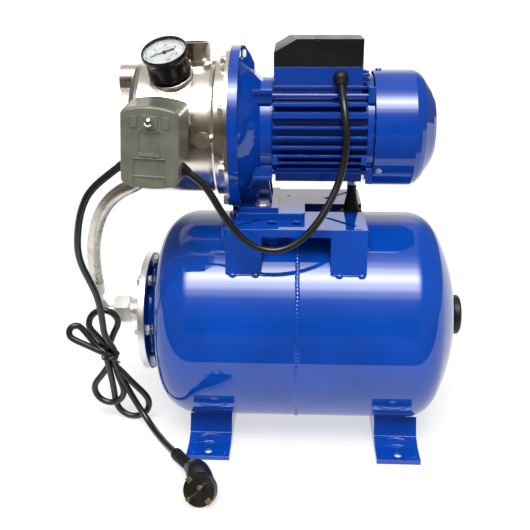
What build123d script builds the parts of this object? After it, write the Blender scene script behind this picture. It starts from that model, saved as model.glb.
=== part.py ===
"""Shallow well jet pump set: horizontal pressure tank with a motor-driven jet pump on its saddle.

Units are millimetres.  X runs along the tank and motor axis, from the pump's suction end (-X) to
the motor's fan end (+X).  Y runs from the side that carries the pressure switch (-Y) to the back.
Z is up.  The origin is on the floor, midway between the four bolt holes of the two feet.
"""
import math
import os

from build123d import *

# ---- driving dimensions: tank ----
TANK_R = 135.0
TANK_Z = 145.0
TANK_WALL = 1.8
TANK_STRAIGHT = {-1: -136.0, 1: 130.0}
KNUCKLE_R = {-1: 49.5, 1: 41.0}
CROWN_R = {-1: 290.0, 1: 239.0}
SEAM_X = -9.0
NECK_R = 50.0
FLANGE_R = 78.0
FLANGE_PCR = 63.0
FLANGE_X = -205.0

# ---- driving dimensions: feet and pump saddle ----
FOOT_X = 118.5
FOOT_W = 54.0
FOOT_LEN = 264.0
FOOT_HOLE_Y = 121.0
FOOT_HOLE_R = 4.6
FOOT_Z = 6.0
SHEET = 2.5
SADDLE_X = (-94.0, 72.0)
SADDLE_Z = 290.0

# ---- driving dimensions: pump and motor ----
AXIS_Z = 392.0
CASING_R = 78.5
CASING_WALL = 2.0
CASING_X = (-206.0, -89.5)
PORT_R = 18.6
PORT_BORE_R = 15.1
SUCTION_Z = 448.5
DISCHARGE_X = -134.0
BELL_R = 97.0
BELL_BOLT_R = 89.5
HOUSING_X = (-40.0, 69.0)
STATOR_R = 52.0
COVER_R = 69.0
BOX_X = (-39.0, 63.5)
BOX_HALF_Y = 34.5
BOX_Z = 467.6
BOX_TOP_Z = 498.5
BELL_BOLTS = 8
ROD_OFFSET = 44.5

# ---- driving dimensions: switch, gauge, cords ----
SWITCH_C = (-166.0, 395.0)
SWITCH_TILT = 3.5
SWITCH_BACK_Y = -92.0
SWITCH_FRONT_Y = -148.0
SWITCH_W = 62.0
SWITCH_H = 77.0
GAUGE_X = -157.0
GAUGE_TILT = 31.0
GAUGE_LEAN = 7.0
GAUGE_R = 27.0
NEEDLE_TURN = 198.0
LEAD_D = 7.8
HOSE_D = 16.5
HOSE_PORT = (-163.0, 362.0)
DRAIN_X = -118.5
SWITCH_STUD_Z = 29.5
PANEL_RIDGES = ((20.2, 22), (-6.8, 22), (-9.9, 34), (-29.2, 34))
LEAD_ENTRY_Y = -119.0
LEAD_ENTRY_Z = -22.0
LEAD_DROOP = {-1: 27.0, 1: 33.0}
BUSH_LEN = 14.0
LEVER_PIVOT = (-106.0, -31.0)
FOOT_FINS = (-28, -14, 0, 14, 28)

os.makedirs("parts", exist_ok=True)


# ---- helpers ----
def save(name, *solids):
    """Write one node: a single solid, or a group of separate ones."""
    pieces = [s for item in solids for s in item.solids()]
    shape = pieces[0] if len(pieces) == 1 else Compound(children=pieces)
    export_step(shape, f"parts/{name}.step")


def lathe(outline, z=AXIS_Z, y=0.0):
    """Solid of revolution about an X axis at height z, from (x, radius) corners."""
    return Pos(0, y, z) * revolve(make_face(Polyline(*outline, close=True)), Axis.X)


def ring_x(x0, x1, r_out, r_in=0.0, z=AXIS_Z):
    """Plain ring or disc about the X axis."""
    return lathe([(x0, r_in), (x0, r_out), (x1, r_out), (x1, r_in)], z)


def rod(start, end, radius):
    """Round bar from one point to another."""
    a, b = Vector(*start), Vector(*end)
    return Plane(origin=a, z_dir=b - a) * Cylinder(radius, (b - a).length, align=FROM_BASE)


def tube(start, end, r_out, r_in):
    """Round pipe from one point to another."""
    return rod(start, end, r_out) - rod(start, end, r_in)


def rod_hole(x0, x1, side_y, side_z, radius):
    """Bar along one of the motor's four tie rods."""
    y, z = side_y * ROD_OFFSET, AXIS_Z + side_z * ROD_OFFSET
    return rod((x0, y, z), (x1, y, z), radius)


def block(x, y, z):
    """Box from (low, high) pairs."""
    size = Box(x[1] - x[0], y[1] - y[0], z[1] - z[0])
    return Pos((x[0] + x[1]) / 2, (y[0] + y[1]) / 2, (z[0] + z[1]) / 2) * size


def around_x(shape, angle, z=AXIS_Z):
    """Turn a shape about the X axis at height z; 0 keeps it, 90 takes +Z to -Y."""
    return Pos(0, 0, z) * Rot(angle, 0, 0) * Pos(0, 0, -z) * shape


def hex_bar(start, end, across_flats):
    """Hexagon bar from one point to another."""
    a, b = Vector(*start), Vector(*end)
    section = Plane(origin=a, z_dir=b - a) * RegularPolygon(across_flats / math.sqrt(3), 6)
    return extrude(section, amount=(b - a).length)


def cord_path(points):
    """Straight runs joined by tangent arcs, each as large as its two runs allow."""
    at = [Vector(*p) for p in points]
    radii = []
    for before, here, after in zip(at, at[1:], at[2:]):
        turn = math.radians((here - before).get_angle(after - here))
        shorter = min((here - before).length, (after - here).length)
        radii.append(0.45 * shorter / math.tan(turn / 2))
    return FilletPolyline(*at, radius=radii), radii


def cord_tube(name, points, diameter):
    """Plain tube of a cord along its route; prints the arc radii and compares the volume."""
    path, radii = cord_path(points)
    section = Plane(origin=path @ 0, z_dir=path % 0) * Circle(diameter / 2)
    solid = sweep(section, path=path)
    expected = math.pi * diameter**2 / 4 * path.length
    print(f"{name}: length {path.length:.1f}, radii", " ".join(f"{r:.0f}" for r in radii))
    print(f"{name}: volume / (section x length) = {solid.volume / expected:.4f}")
    return solid


FROM_BASE = (Align.CENTER, Align.CENTER, Align.MIN)


# ---- pressure tank ----
def tank_outline(inset):
    """Closed outline of the tank, straight wall and two dished heads, moved inwards by inset."""
    def head(side):
        knuckle, crown, x0 = KNUCKLE_R[side], CROWN_R[side], TANK_STRAIGHT[side]
        rise = TANK_R - knuckle
        depth = math.sqrt((crown - knuckle) ** 2 - rise**2)
        turn = math.atan2(rise, depth)

        def on_arc(cx, cy, radius, angle):
            return (cx + side * radius * math.cos(angle), cy + radius * math.sin(angle))

        wall = (x0, TANK_R - inset)
        knuckle_mid = on_arc(x0, rise, knuckle - inset, (math.pi / 2 + turn) / 2)
        meet = on_arc(x0, rise, knuckle - inset, turn)
        crown_mid = on_arc(x0 - side * depth, 0, crown - inset, turn / 2)
        pole = on_arc(x0 - side * depth, 0, crown - inset, 0)
        return wall, pole, [ThreePointArc(wall, knuckle_mid, meet), ThreePointArc(meet, crown_mid, pole)]

    left_wall, left_pole, left_arcs = head(-1)
    right_wall, right_pole, right_arcs = head(1)
    edges = left_arcs + right_arcs + [Line(left_wall, right_wall), Line(left_pole, right_pole)]
    return make_face(edges)


def tank_solid(inset=0.0):
    return Pos(0, 0, TANK_Z) * revolve(tank_outline(inset), Axis.X)


def flange_holes(x0, x1, radius):
    """Six bolt bars on the tank flange's pitch circle."""
    bars = []
    for k in range(6):
        angle = math.radians(30 + 60 * k)
        y, z = FLANGE_PCR * math.sin(angle), TANK_Z + FLANGE_PCR * math.cos(angle)
        bars.append(rod((x0, y, z), (x1, y, z), radius))
    return bars


def tank_shell():
    shell = tank_solid() - tank_solid(TANK_WALL)
    bead = [(-3.2, -0.6), (-1.4, 0.9), (1.4, 0.9), (3.2, -0.6)]
    shell += lathe([(SEAM_X + x, TANK_R + r) for x, r in bead], TANK_Z)
    shell += ring_x(FLANGE_X + 1.5, FLANGE_X + 5.0, FLANGE_R - 2, NECK_R - 6, TANK_Z)
    shell += ring_x(FLANGE_X + 2.0, -194.5, NECK_R, NECK_R - 6, TANK_Z)
    shell -= ring_x(-215, -190, NECK_R - 6, 0, TANK_Z)
    for bar in flange_holes(-210, -199.5, 4.5):
        shell -= bar
    shell += ring_x(191.5, 199.0, 14.0, 0, TANK_Z)
    shell -= ring_x(185, 200, 4.3, 0, TANK_Z)
    return shell


def bladder():
    """Rubber bag: its lip is clamped between the tank's flange and the cover flange."""
    outer = [(-205, 54), (-203.6, 54), (-203.6, 43.5), (-190, 44), (-165, 96), (-120, 112), (60, 112),
             (105, 88), (122, 40), (125, 0), (123, 0), (120, 39), (103.5, 86.5), (59.4, 110),
             (-119, 110), (-163.4, 94.7), (-188.4, 42), (-205, 41.5)]
    return lathe(outer, TANK_Z)


def tank_flange():
    """Zinc plated cover flange with its threaded nipple."""
    disc = ring_x(FLANGE_X - 3.5, FLANGE_X, FLANGE_R, 10.0, TANK_Z)
    disc += lathe([(-246, 10), (-246, 13.4), (-245, 14.4), (-208.5, 14.4), (-208.5, 10)], TANK_Z)
    for bar in flange_holes(-212, -204, 4.5):
        disc -= bar
    return disc


def flange_bolts():
    """Six bolts, heads outside, nuts behind the tank's flange."""
    bolts = []
    for bar in flange_holes(FLANGE_X - 3.7, FLANGE_X + 9.5, 3.9):
        y, z = bar.center().Y, bar.center().Z
        head = hex_bar((FLANGE_X - 9.0, y, z), (FLANGE_X - 3.6, y, z), 12.5)
        nut = hex_bar((FLANGE_X + 5.1, y, z), (FLANGE_X + 9.0, y, z), 12.5)
        bolts.append(bar + head + nut)
    return bolts


def air_valve():
    """Brass charging valve in the boss of the right head."""
    return lathe([(186, 0), (186, 4.2), (200.0, 4.2), (200.8, 3.2), (200.8, 0)], TANK_Z)


def valve_cap():
    """Black cap over the valve boss."""
    body = lathe([(195.5, 26), (201.5, 26), (204.0, 23.5), (204.0, 0), (201.9, 0), (201.9, 14.4),
                  (195.5, 14.4)], TANK_Z)
    return body


# ---- feet and saddle ----
def foot(x):
    """Pressed tray: flat ends with down-turned lips, side walls cut to the tank."""
    half = FOOT_LEN / 2

    def profile(inset):
        flat_z = FOOT_Z - inset
        pts = [(-half + inset, -1 if inset else 0), (-half + inset, flat_z), (-104 + inset, flat_z),
               (-88 + inset, 12 - inset), (-76 + inset, 40), (76 - inset, 40), (88 - inset, 12 - inset),
               (104 - inset, flat_z), (half - inset, flat_z), (half - inset, -1 if inset else 0)]
        return make_face(Polyline(*pts, close=True))

    outer = extrude(Plane.YZ * profile(0), FOOT_W / 2, both=True)
    inner = extrude(Plane.YZ * profile(SHEET), FOOT_W / 2 - SHEET, both=True)
    shape = outer - inner
    arch = Pos(0, -94, FOOT_Z - 0.5) * extrude(Ellipse(19, 10), 1.6)
    shape += (arch + Pos(0, 188, 0) * arch) - inner
    shape -= Pos(0, 0, TANK_Z) * Rot(0, 90, 0) * Cylinder(TANK_R + 0.05, 80)
    for side in (-1, 1):
        shape -= Pos(0, side * FOOT_HOLE_Y, 0) * Cylinder(FOOT_HOLE_R, 30)
    return Pos(x, 0, 0) * shape


def saddle():
    """Welded sheet bracket: two rails with a shallow channel between, flared legs at the corners."""
    x_mid = (SADDLE_X[0] + SADDLE_X[1]) / 2
    half_x = (SADDLE_X[1] - SADDLE_X[0]) / 2
    floor_z = SADDLE_Z - 7.2
    t = SHEET
    section = [(-100, 232), (-92, 290), (-18, 290), (-18, floor_z), (18, floor_z), (18, 290), (92, 290),
               (100, 232), (100 - t, 232), (92 - t, 290 - t), (18 + t, 290 - t), (18 + t, floor_z - t),
               (-18 - t, floor_z - t), (-18 - t, 290 - t), (-92 + t, 290 - t), (-100 + t, 232)]
    shape = extrude(Plane.YZ * make_face(Polyline(*section, close=True)), half_x, both=True)
    for side in (-1, 1):
        shape -= block((-40.5, 40.5), sorted((side * 86, side * 130)), (200, 281))
    for sx in (-1, 1):
        for sy in (-1, 1):
            slot = Pos(sx * 53, sy * 60, 285) * Rot(0, 0, sx * sy * 45) * extrude(SlotOverall(48, 6), 10)
            shape -= slot
            edge_x = sx * (half_x - t / 2)
            gusset = Polyline((-91, 288.5), (-99, 233), (-86, 233), (-78, 288.5), close=True)
            ear = Pos(edge_x, 0, 0) * extrude(Plane.YZ * make_face(gusset), t / 2, both=True)
            shape += ear if sy < 0 else mirror(ear, Plane.XZ)
    for x in (-29, 0):
        shape -= Pos(x, -65, 285) * Box(10, 13, 20)
    for side in (-1, 1):
        shape -= Pos(-52 - x_mid, side * 37, 285) * Cylinder(4.5, 20)
    shape -= Pos(0, 0, TANK_Z) * Rot(0, 90, 0) * Cylinder(TANK_R + 0.15, 400)
    return Pos(x_mid, 0, 0) * shape - ring_x(SEAM_X - 7, SEAM_X + 7, TANK_R + 1.6, 0, TANK_Z)


# ---- pump end ----
def casing():
    """Thin stainless pump casing with a dished end, a pressed step, a mouth flange and its ports."""
    w = CASING_WALL
    x0, x1 = CASING_X
    outer = [(x0, 0), (x0, 66), (x0 + 1.2, 71), (x0 + 4, 75.2), (x0 + 8, 77.8), (x0 + 12, CASING_R),
             (-112.5, CASING_R), (-110.5, 76.8), (-108.5, 80), (-106, 82.3), (-95.5, 82.6), (-93.5, 83.4),
             (-93.5, 96), (x1, 96), (x1, 0)]
    inner = [(x0 + w, 0), (x0 + w, 65.5), (x0 + 3, 69.8), (x0 + 5.4, 73.5), (x0 + 9, 75.9), (x0 + 12.4, 76.5),
             (-112, 76.5), (-110.5, 74.8), (-108, 77.5), (-104.8, 80.3), (-90, 80.3),
             (x1 + 1, 80.3), (x1 + 1, 0)]
    shell = lathe(outer) - lathe(inner)
    shell += rod((-223, 0, SUCTION_Z), (-199, 0, SUCTION_Z), PORT_R)
    shell += rod((DISCHARGE_X, 0, 463), (DISCHARGE_X, 0, 493), PORT_R)
    shell += rod((DISCHARGE_X, 0, 463), (DISCHARGE_X, 0, 471.8), 25)
    shell += gauge_boss()
    shell += rod((SWITCH_C[0], -70, 392), (SWITCH_C[0], -81, 392), 10)
    shell += rod((HOSE_PORT[0], -62, HOSE_PORT[1]), (HOSE_PORT[0], -75.8, HOSE_PORT[1]), 8)
    shell += rod((DRAIN_X, -72, 391), (DRAIN_X, -81.5, 391), 9.5)
    shell -= lathe(inner) & block((-300, -80), (-90, 90), (300, 480))
    shell -= rod((-230, 0, SUCTION_Z), (-190, 0, SUCTION_Z), PORT_BORE_R)
    shell -= rod((DISCHARGE_X, 0, 450), (DISCHARGE_X, 0, 500), PORT_BORE_R)
    shell -= rod((SWITCH_C[0], -60, 392), (SWITCH_C[0], -90, 392), 6.0)
    shell -= rod((HOSE_PORT[0], -50, HOSE_PORT[1]), (HOSE_PORT[0], -90, HOSE_PORT[1]), 5.0)
    shell -= rod((DRAIN_X, -60, 391), (DRAIN_X, -90, 391), 6.0)
    shell -= gauge_axis_bar(60, 90, 6.0)
    for y, z in bolt_places():
        shell -= rod((-100, y, z), (-80, y, z), 4.2)
    return shell


def bolt_places():
    """Bolt circle that holds the casing to the bell."""
    step = 2 * math.pi / BELL_BOLTS
    return [(BELL_BOLT_R * math.sin(step * (k + 0.5)), AXIS_Z + BELL_BOLT_R * math.cos(step * (k + 0.5)))
            for k in range(BELL_BOLTS)]


def gauge_frame():
    """Frame on the casing's surface, z outwards along the gauge's axis."""
    tilt, lean = math.radians(GAUGE_TILT), math.radians(GAUGE_LEAN)
    out = (0, -math.sin(tilt), math.cos(tilt))
    base = Vector(GAUGE_X, CASING_R * out[1], AXIS_Z + CASING_R * out[2])
    axis = Vector(-math.sin(lean), out[1] * math.cos(lean), out[2] * math.cos(lean))
    return Plane(origin=base, x_dir=(1, 0, axis.X / axis.Z * -1), z_dir=axis)


def on_gauge(outline):
    """Solid of revolution about the gauge's axis, from (radius, height above the casing) corners."""
    face = make_face(Polyline(*[(r, 0, h) for r, h in outline], close=True))
    return gauge_frame() * revolve(face, Axis.Z)


def gauge_boss():
    return on_gauge([(0, -6), (11, -6), (11, 2.2), (9.5, 3), (0, 3)])


def gauge_axis_bar(low, high, radius):
    return on_gauge([(0, low - CASING_R), (radius, low - CASING_R), (radius, high - CASING_R),
                     (0, high - CASING_R)])


def casing_bolts():
    bolts = []
    for y, z in bolt_places():
        shank = rod((-94, y, z), (-80.5, y, z), 3.9)
        washer = rod((-95.1, y, z), (-93.7, y, z), 5.9)
        head = hex_bar((-100, y, z), (-95, y, z), 10)
        bolts.append(shank + washer + head)
    return bolts


def seal_plate():
    """Stainless cover between pump and motor; its hub holds the fixed seal ring."""
    body = lathe([(-97.5, 14), (-97.5, 17), (-93, 17), (-93, 75), (-96, 75), (-96, 79.9), (-94.7, 79.9),
                  (-94.7, 77), (-91.7, 77), (-91.7, 79.9), (-89.8, 79.9), (-89.8, 9), (-91.3, 9), (-91.3, 14)])
    return body


def o_ring():
    return lathe([(-94.3, 77.2), (-94.3, 79.6), (-93.4, 80.1), (-93.0, 80.1), (-92.1, 79.6), (-92.1, 77.2)])


def impeller():
    """Closed impeller: two shrouds with swept vanes between, on a hub."""
    body = ring_x(-106, -104, 58, 7.05) + ring_x(-115, -113, 58, 20)
    body += ring_x(-112, -103, 13, 7.05)
    for k in range(6):
        vane = Pos(-109.5, 0, 39) * Rot(28, 0, 0) * Box(9, 2.2, 38)
        body += around_x(Pos(0, 0, AXIS_Z) * vane, 60 * k)
    trim = ring_x(-120, -100, 70, 58) + ring_x(-113, -106, 21, 12.9)
    return body - trim


def diffuser():
    """Fixed cup round the impeller with a tapered inlet tube and guide vanes on its front."""
    body = lathe([(-141, 17.2), (-141, 21), (-121, 24), (-119.5, 74.4), (-98, 74.4), (-98, 72.4), (-117, 72.4),
                  (-117.5, 17.2)])
    for k in range(8):
        vane = Pos(-125.5, 0, 50) * Rot(35, 0, 0) * Box(11, 2.0, 44)
        turned = around_x(Pos(0, 0, AXIS_Z) * vane, 45 * k)
        body += turned - ring_x(-140, -110, 90, 72.5) - ring_x(-132, -116, 23.8)
    return body


def ejector():
    """Venturi tube between the suction chamber and the impeller's eye."""
    return lathe([(-196, 12), (-196, 17), (-188, 17), (-180, 12.5), (-141.3, 16.8), (-141.3, 13), (-176, 6.5),
                  (-182, 7)])


def ejector_nozzle():
    return lathe([(-203.6, 4.0), (-203.6, 11.8), (-191, 11.8), (-191, 9), (-184, 5.5), (-184, 3.0), (-193, 6)])


def bell():
    """Cast lantern: bolted rim, cone, motor spigot, bearing hub, tie rod lugs, rib and pedestal."""
    body = lathe([(-89.3, 80), (-89.3, BELL_R), (-78, BELL_R), (-78, 84.5), (-54.4, 60), (-40.3, 60), (-40.3, 56),
                  (-44, 55.5), (-44, 17.6), (-60, 17.6), (-60, 15), (-62, 15), (-62, 24), (-49, 25), (-49, 55),
                  (-56, 55), (-81, 80)])
    body += lathe([(-41.8, 57), (-41.8, 61), (-40.3, 61), (-40.3, 57)])
    for sy in (-1, 1):
        for sz in (-1, 1):
            lug = Pos(-52, sy * ROD_OFFSET, AXIS_Z + sz * ROD_OFFSET) * Box(23.4, 16, 15)
            lug += Pos(-52, sy * 50, AXIS_Z + sz * 50.5) * Box(23.4, 12, 4)
            body += lug - lathe([(-70, 0), (-70, 78), (-54.4, 57), (-40, 57), (-40, 0)])
            body -= rod_hole(-60, -38, sy, sz, 3.1)
    rib = make_face(Polyline((-79, 470), (-79, 489.2), (-74.5, 489.2), (-69, 481), (-63, 468), (-63, 458),
                             (-70, 455), close=True))
    body += extrude(Plane.XZ * rib, 2.5, both=True)
    body -= Pos(-75, 0, 480) * Rot(90, 0, 0) * extrude(SlotOverall(9, 4, rotation=90), 10, both=True)
    vent = Pos(-56.5, 0, 455.5) * Rot(0, 46, 0) * Box(13, 34, 5)
    body -= vent
    for y, z in bolt_places():
        body -= rod((-95, y, z), (-80, y, z), 4.1)
    return body + pedestal()


def pedestal():
    """Leg of the bell: an open box section on a foot pad with two bolt holes."""
    def frustum(inset, low, high):
        base = Pos(-60, 2, low) * Rectangle(38 - 2 * inset, 46 - 2 * inset)
        top = Pos(-63, 2, high) * Rectangle(30 - 2 * inset, 52 - 2 * inset)
        return loft(Sketch() + [base, top])

    leg = frustum(0, 300, 352) - Pos(14, 0, 0) * frustum(4, 304.5, 356)
    leg += Pos(-57, 0, 301.1) * Box(48, 96, 4.8)
    leg -= lathe([(-95, 0), (-95, 96), (-81, 83), (-78, 83), (-54.4, 58.5), (-40, 58.5), (-40, 0)])
    for side in (-1, 1):
        leg -= Pos(-52, side * 37, 300) * Cylinder(4.5, 20)
    return leg


def base_plate():
    """Folded plate that carries the pump on the saddle."""
    def tray(inset, low, high):
        plan = RectangleRounded(83 - 2 * inset, 111 - 2 * inset, 5 - inset)
        return Pos(-42.5, 0.5, low) * extrude(plan, high - low)

    plate = tray(0, SADDLE_Z + 0.1, 298.6) - tray(SHEET, SADDLE_Z - 1, 298.6 - SHEET)
    for side in (-1, 1):
        plate -= Pos(-52, side * 37, 300) * Cylinder(4.5, 40)
    plate -= Pos(-22, 25, 298) * Cylinder(2.2, 20)
    plate -= ring_x(-95, -77.4, BELL_R + 0.6)
    return plate


def base_bolts():
    bolts = []
    for side in (-1, 1):
        y = side * 37
        bolt = rod((-52, y, 281), (-52, y, 304.5), 4.0) + rod((-52, y, 303.7), (-52, y, 305.2), 10)
        nut = hex_bar((-52, y, 282), (-52, y, SADDLE_Z - SHEET - 0.1), 13.5)
        bolts.append(bolt + nut + hex_bar((-52, y, 305.1), (-52, y, 310.8), 13.5))
    return bolts


# ---- motor ----
SIDE_FINS = ((-39, 2.6, 54), (-30, 2.6, 62), (-21.3, 2.6, 66), (-10.6, 2.6, 68), (0.5, 2.6, 68), (11.8, 2.6, 68),
             (25.5, 6.5, 66.5), (36.5, 3.4, 61))


def fin_length(height):
    """The three lowest fins and the two top ones stop short of the corner lugs."""
    return 50 if height < -28 else 54


def motor_housing():
    """Finned aluminium frame with the terminal box base cast on top."""
    x0, x1 = HOUSING_X
    mid = (x0 + x1) / 2
    body = ring_x(x0, x1, 57.5, STATOR_R + 0.05)
    for height, thick, reach in SIDE_FINS:
        fin = Box(2 * fin_length(height), 2 * reach, thick)
        body += Pos(mid, 0, AXIS_Z + height) * fin
    for y in FOOT_FINS:
        body += Pos(mid, y, AXIS_Z - 48) * Box(104, 2.6, 24)
    for sx in (-1, 1):
        for sy in (-1, 1):
            body += Pos(mid + sx * 51, sy * 60.5, AXIS_Z - 25.5) * Box(6, 14, 11)
    body += block((x0 + 1, BOX_X[1]), (-BOX_HALF_Y, BOX_HALF_Y), (436, BOX_Z))
    body += block((x0 + 1, x1), (-37, 37), (443.4, 446.4))
    body += block((60, x1 - 1.5), (-30, 30), (436, 464))
    for z in (450, 455.5):
        body += block((62, x1), (-32, 32), (z, z + 1.6))
    body += Pos(57.5, 0, 338) * Cylinder(9, 18)
    body -= ring_x(x0 - 1, x1 + 5, STATOR_R + 0.05)
    body -= block((x0 + 4, 59.5), (-BOX_HALF_Y + 3, BOX_HALF_Y - 3), (452, 470))
    body -= Pos(57.5, 0, 330) * Cylinder(3.0, 14)
    body -= rod((38, -50, 455.5), (38, -25, 455.5), 6.2)
    for sy in (-1, 1):
        body -= rod_hole(x0 - 1, x1 + 6, sy, 1, 3.6)
        body -= rod_hole(x0 - 1, x1 + 6, sy, -1, 3.6)
        for x in (-33, 55):
            body -= Pos(x, sy * 28, 462) * Cylinder(1.7, 30)
    return body


def tie_rods():
    rods = []
    for sy in (-1, 1):
        for sz in (-1, 1):
            y, z = sy * ROD_OFFSET, AXIS_Z + sz * ROD_OFFSET
            nut = hex_bar((77.2, y, z), (80.2, y, z), 7)
            rods.append(rod((-58, y, z), (81.5, y, z), 2.9) + nut)
    return rods


def stator_core():
    """Laminated ring with slots towards the rotor."""
    body = ring_x(-20, 50, STATOR_R, 29.6)
    for k in range(24):
        slot = Pos(15, 0, 36.5) * Box(72, 3.6, 11)
        body -= around_x(Pos(0, 0, AXIS_Z) * slot, 15 * k)
    return body


def windings():
    """End turns on both sides of the core."""
    outline = [(0, 31), (0, 43), (4, 47), (9, 47), (12, 43), (12, 34), (9, 31)]
    front = lathe([(-20.2 - x, r) for x, r in outline])
    back = lathe([(50.2 + x, r) for x, r in outline])
    return front, back


def rotor_core():
    body = ring_x(-20, 50, 29.1, 9.05)
    body += lathe([(-27, 12), (-27, 26), (-20, 28), (-20, 12)])
    body += lathe([(50, 12), (50, 28), (57, 26), (57, 12)])
    return body


def shaft():
    """Stepped shaft from the impeller's nut to the fan."""
    return lathe([(-123, 0), (-123, 4), (-116.5, 4), (-116.5, 7), (-61, 7), (-61, 7.5), (-47, 7.5), (-47, 9),
                  (62, 9), (62, 7.5), (79, 7.5), (79, 7), (118, 7), (118, 0)])


def impeller_nut():
    nut = hex_bar((-121, 0, AXIS_Z), (-115.3, 0, AXIS_Z), 13)
    return nut - rod((-122, 0, AXIS_Z), (-115, 0, AXIS_Z), 4.05) \
        - ring_x(-116.6, -115, 7.1)


def ball_bearing(x0, x1):
    """Outer ring, inner ring and shields as one sealed cartridge."""
    half = [(x0, 7.54), (x0, 10.5), (x0 + 0.8, 11), (x0 + 0.8, 14), (x0, 14.5), (x0, 17.5)]
    return lathe(half + [(x0 + x1 - x, r) for x, r in reversed(half)])


def seal_fixed():
    return lathe([(-97.3, 8.2), (-97.3, 13.9), (-91.5, 13.9), (-91.5, 8.2)])


def seal_turning():
    return lathe([(-102.6, 7.05), (-102.6, 12.5), (-99.2, 12.5), (-99.2, 11), (-97.6, 11), (-97.6, 7.05)])


def end_shield():
    """Rear end cover with the bearing seat, lugs for the tie rods and a spigot."""
    body = lathe([(69.1, 52), (69.1, 64), (77, 64), (77, 20), (80, 20), (80, 9), (77.5, 9), (77.5, 17.6),
                  (65, 17.6), (65, 22), (73.5, 26), (73.5, 52)])
    for sy in (-1, 1):
        for sz in (-1, 1):
            lug = block((69.1, 77), (sy * 47 - 9, sy * 47 + 9), (AXIS_Z + sz * 47 - 9, AXIS_Z + sz * 47 + 9))
            body += lug - ring_x(60, 90, 54)
            body -= rod_hole(60, 90, sy, sz, 3.1)
    return body


def fan():
    """Seven straight blades between a hub and a back disc."""
    body = lathe([(84, 7.05), (84, 14), (92, 14), (92, 58), (94, 58), (94, 13), (112, 12), (112, 7.05)])
    for k in range(7):
        blade = Pos(102, 0, 35) * Box(17, 2, 46)
        body += around_x(Pos(0, 0, AXIS_Z) * blade, 360 / 7 * k)
    return body


def fan_cover():
    """Pressed cowl: cylinder, bevelled nose and a slotted end."""
    outer = [(78, COVER_R), (125, COVER_R), (131, 66.5), (136, 62), (147, 45.5), (151, 38), (151, 0)]
    inner = [(149.2, 0), (149.2, 37.4), (145.4, 44.6), (134.6, 60.8), (130, 64.9), (124.8, 67.3), (78, 67.3)]
    body = lathe(outer + inner)
    spokes = [around_x(Pos(150, 0, AXIS_Z + 30) * Box(20, 5, 60), 60 * k) for k in range(6)]
    for radius in (12, 20, 28):
        band = ring_x(145, 155, radius + 2, radius - 2)
        for spoke in spokes:
            band -= spoke
        body -= band
    return body


def cover_screws():
    """Three screws through the cowl's rim into the end shield's lugs."""
    screws = []
    for angle in (0, 125, 235):
        head = lathe([(0, 0), (0, 3.6), (1.4, 3.6), (2.4, 2.2), (2.4, 0)], 0)
        upright = Pos(84, 0, AXIS_Z + COVER_R + 0.1) * Rot(0, -90, 0) * head
        screws.append(around_x(upright, angle))
    return screws


# ---- terminal box ----
def terminal_cover():
    """Black cover with a slanted front-left corner, open below."""
    def hood(inset):
        shape = block((BOX_X[0] + inset, BOX_X[1] - inset), (-BOX_HALF_Y + inset, BOX_HALF_Y - inset),
                      (BOX_Z - inset * 2 + 0.1, BOX_TOP_Z - inset))
        low, front = Vector(-38.2, -34, 484.2), Vector(-12.7, -34, 498.5)
        back = Vector(-21.6, 34, 498.5)
        normal = (back - front).cross(low - front).normalized()
        normal = normal if normal.Z > 0 else normal * -1
        cut = Plane(origin=front - normal * inset, x_dir=back - front, z_dir=normal)
        return shape - cut * Box(300, 300, 60, align=FROM_BASE)

    body = hood(0) - hood(2.2)
    body -= block((8, 13), (-36, -31), (496.6, 500))
    return body


def box_screws():
    """Four screws that hold the terminal cover down."""
    screws = []
    for x in (-33, 55):
        for y in (-28, 28):
            screws.append(rod((x, y, 448.2), (x, y, 469), 1.6) + rod((x, y, 468.9), (x, y, 471.2), 3.2))
    return screws


def capacitor():
    can = rod((2, 10, 473.5), (50, 10, 473.5), 14.5) + rod((-2, 10, 473.5), (2.1, 10, 473.5), 12)
    for y in (6, 14):
        can += rod((-8, y, 473.5), (-1.9, y, 473.5), 1.5)
    return can


def terminal_block():
    body = block((-28, 20), (-26, -10), (452.2, 462))
    for x in (-22, -12, -2, 8):
        body -= Pos(x, -18, 462) * Cylinder(3, 8)
    return body


def cable_gland():
    """Round rubber grommet on the box wall; its neck points down and outwards."""
    start, out = Vector(38, -38.5, 455.5), Vector(0.04, -0.8, -0.6).normalized()
    ball = Pos(*start) * Sphere(8.9)
    ball -= block((20, 60), (-BOX_HALF_Y - 0.1, 0), (430, 480))
    ball += rod((38, -34.7, 455.5), (38, -28.5, 455.5), 6.1)
    return ball + rod(start, start + out * 12.5, 5.6)


def support_foot():
    """Rubber foot under the motor, standing in the saddle's channel."""
    z0 = SADDLE_Z - 7.1
    outline = [(0, 0), (14, 0), (14, 3.4), (12.5, 5), (10.2, 6), (9.6, 9), (6.0, 27), (5.6, 38), (0, 38)]
    face = make_face(Polyline(*[(r, 0, z0 + h) for r, h in outline], close=True))
    return Pos(57.5, 0, 0) * revolve(face, Axis.Z)


def support_stud():
    nut_z = SADDLE_Z - 7.1 + 38.1
    stud = Pos(57.5, 0, nut_z) * Cylinder(2.9, 336 - nut_z, align=FROM_BASE)
    return stud + Pos(57.5, 0, nut_z) * extrude(RegularPolygon(5.8, 6), 4)


# ---- pressure switch ----
def on_switch(shape):
    """Place a shape drawn about the switch's centre: x across, z up, y from its back plane outwards (-Y)."""
    return Pos(SWITCH_C[0], 0, SWITCH_C[1]) * Rot(0, SWITCH_TILT, 0) * shape


def bar_y(x, z, y0, y1, radius):
    return rod((x, y0, z), (x, y1, z), radius)


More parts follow.
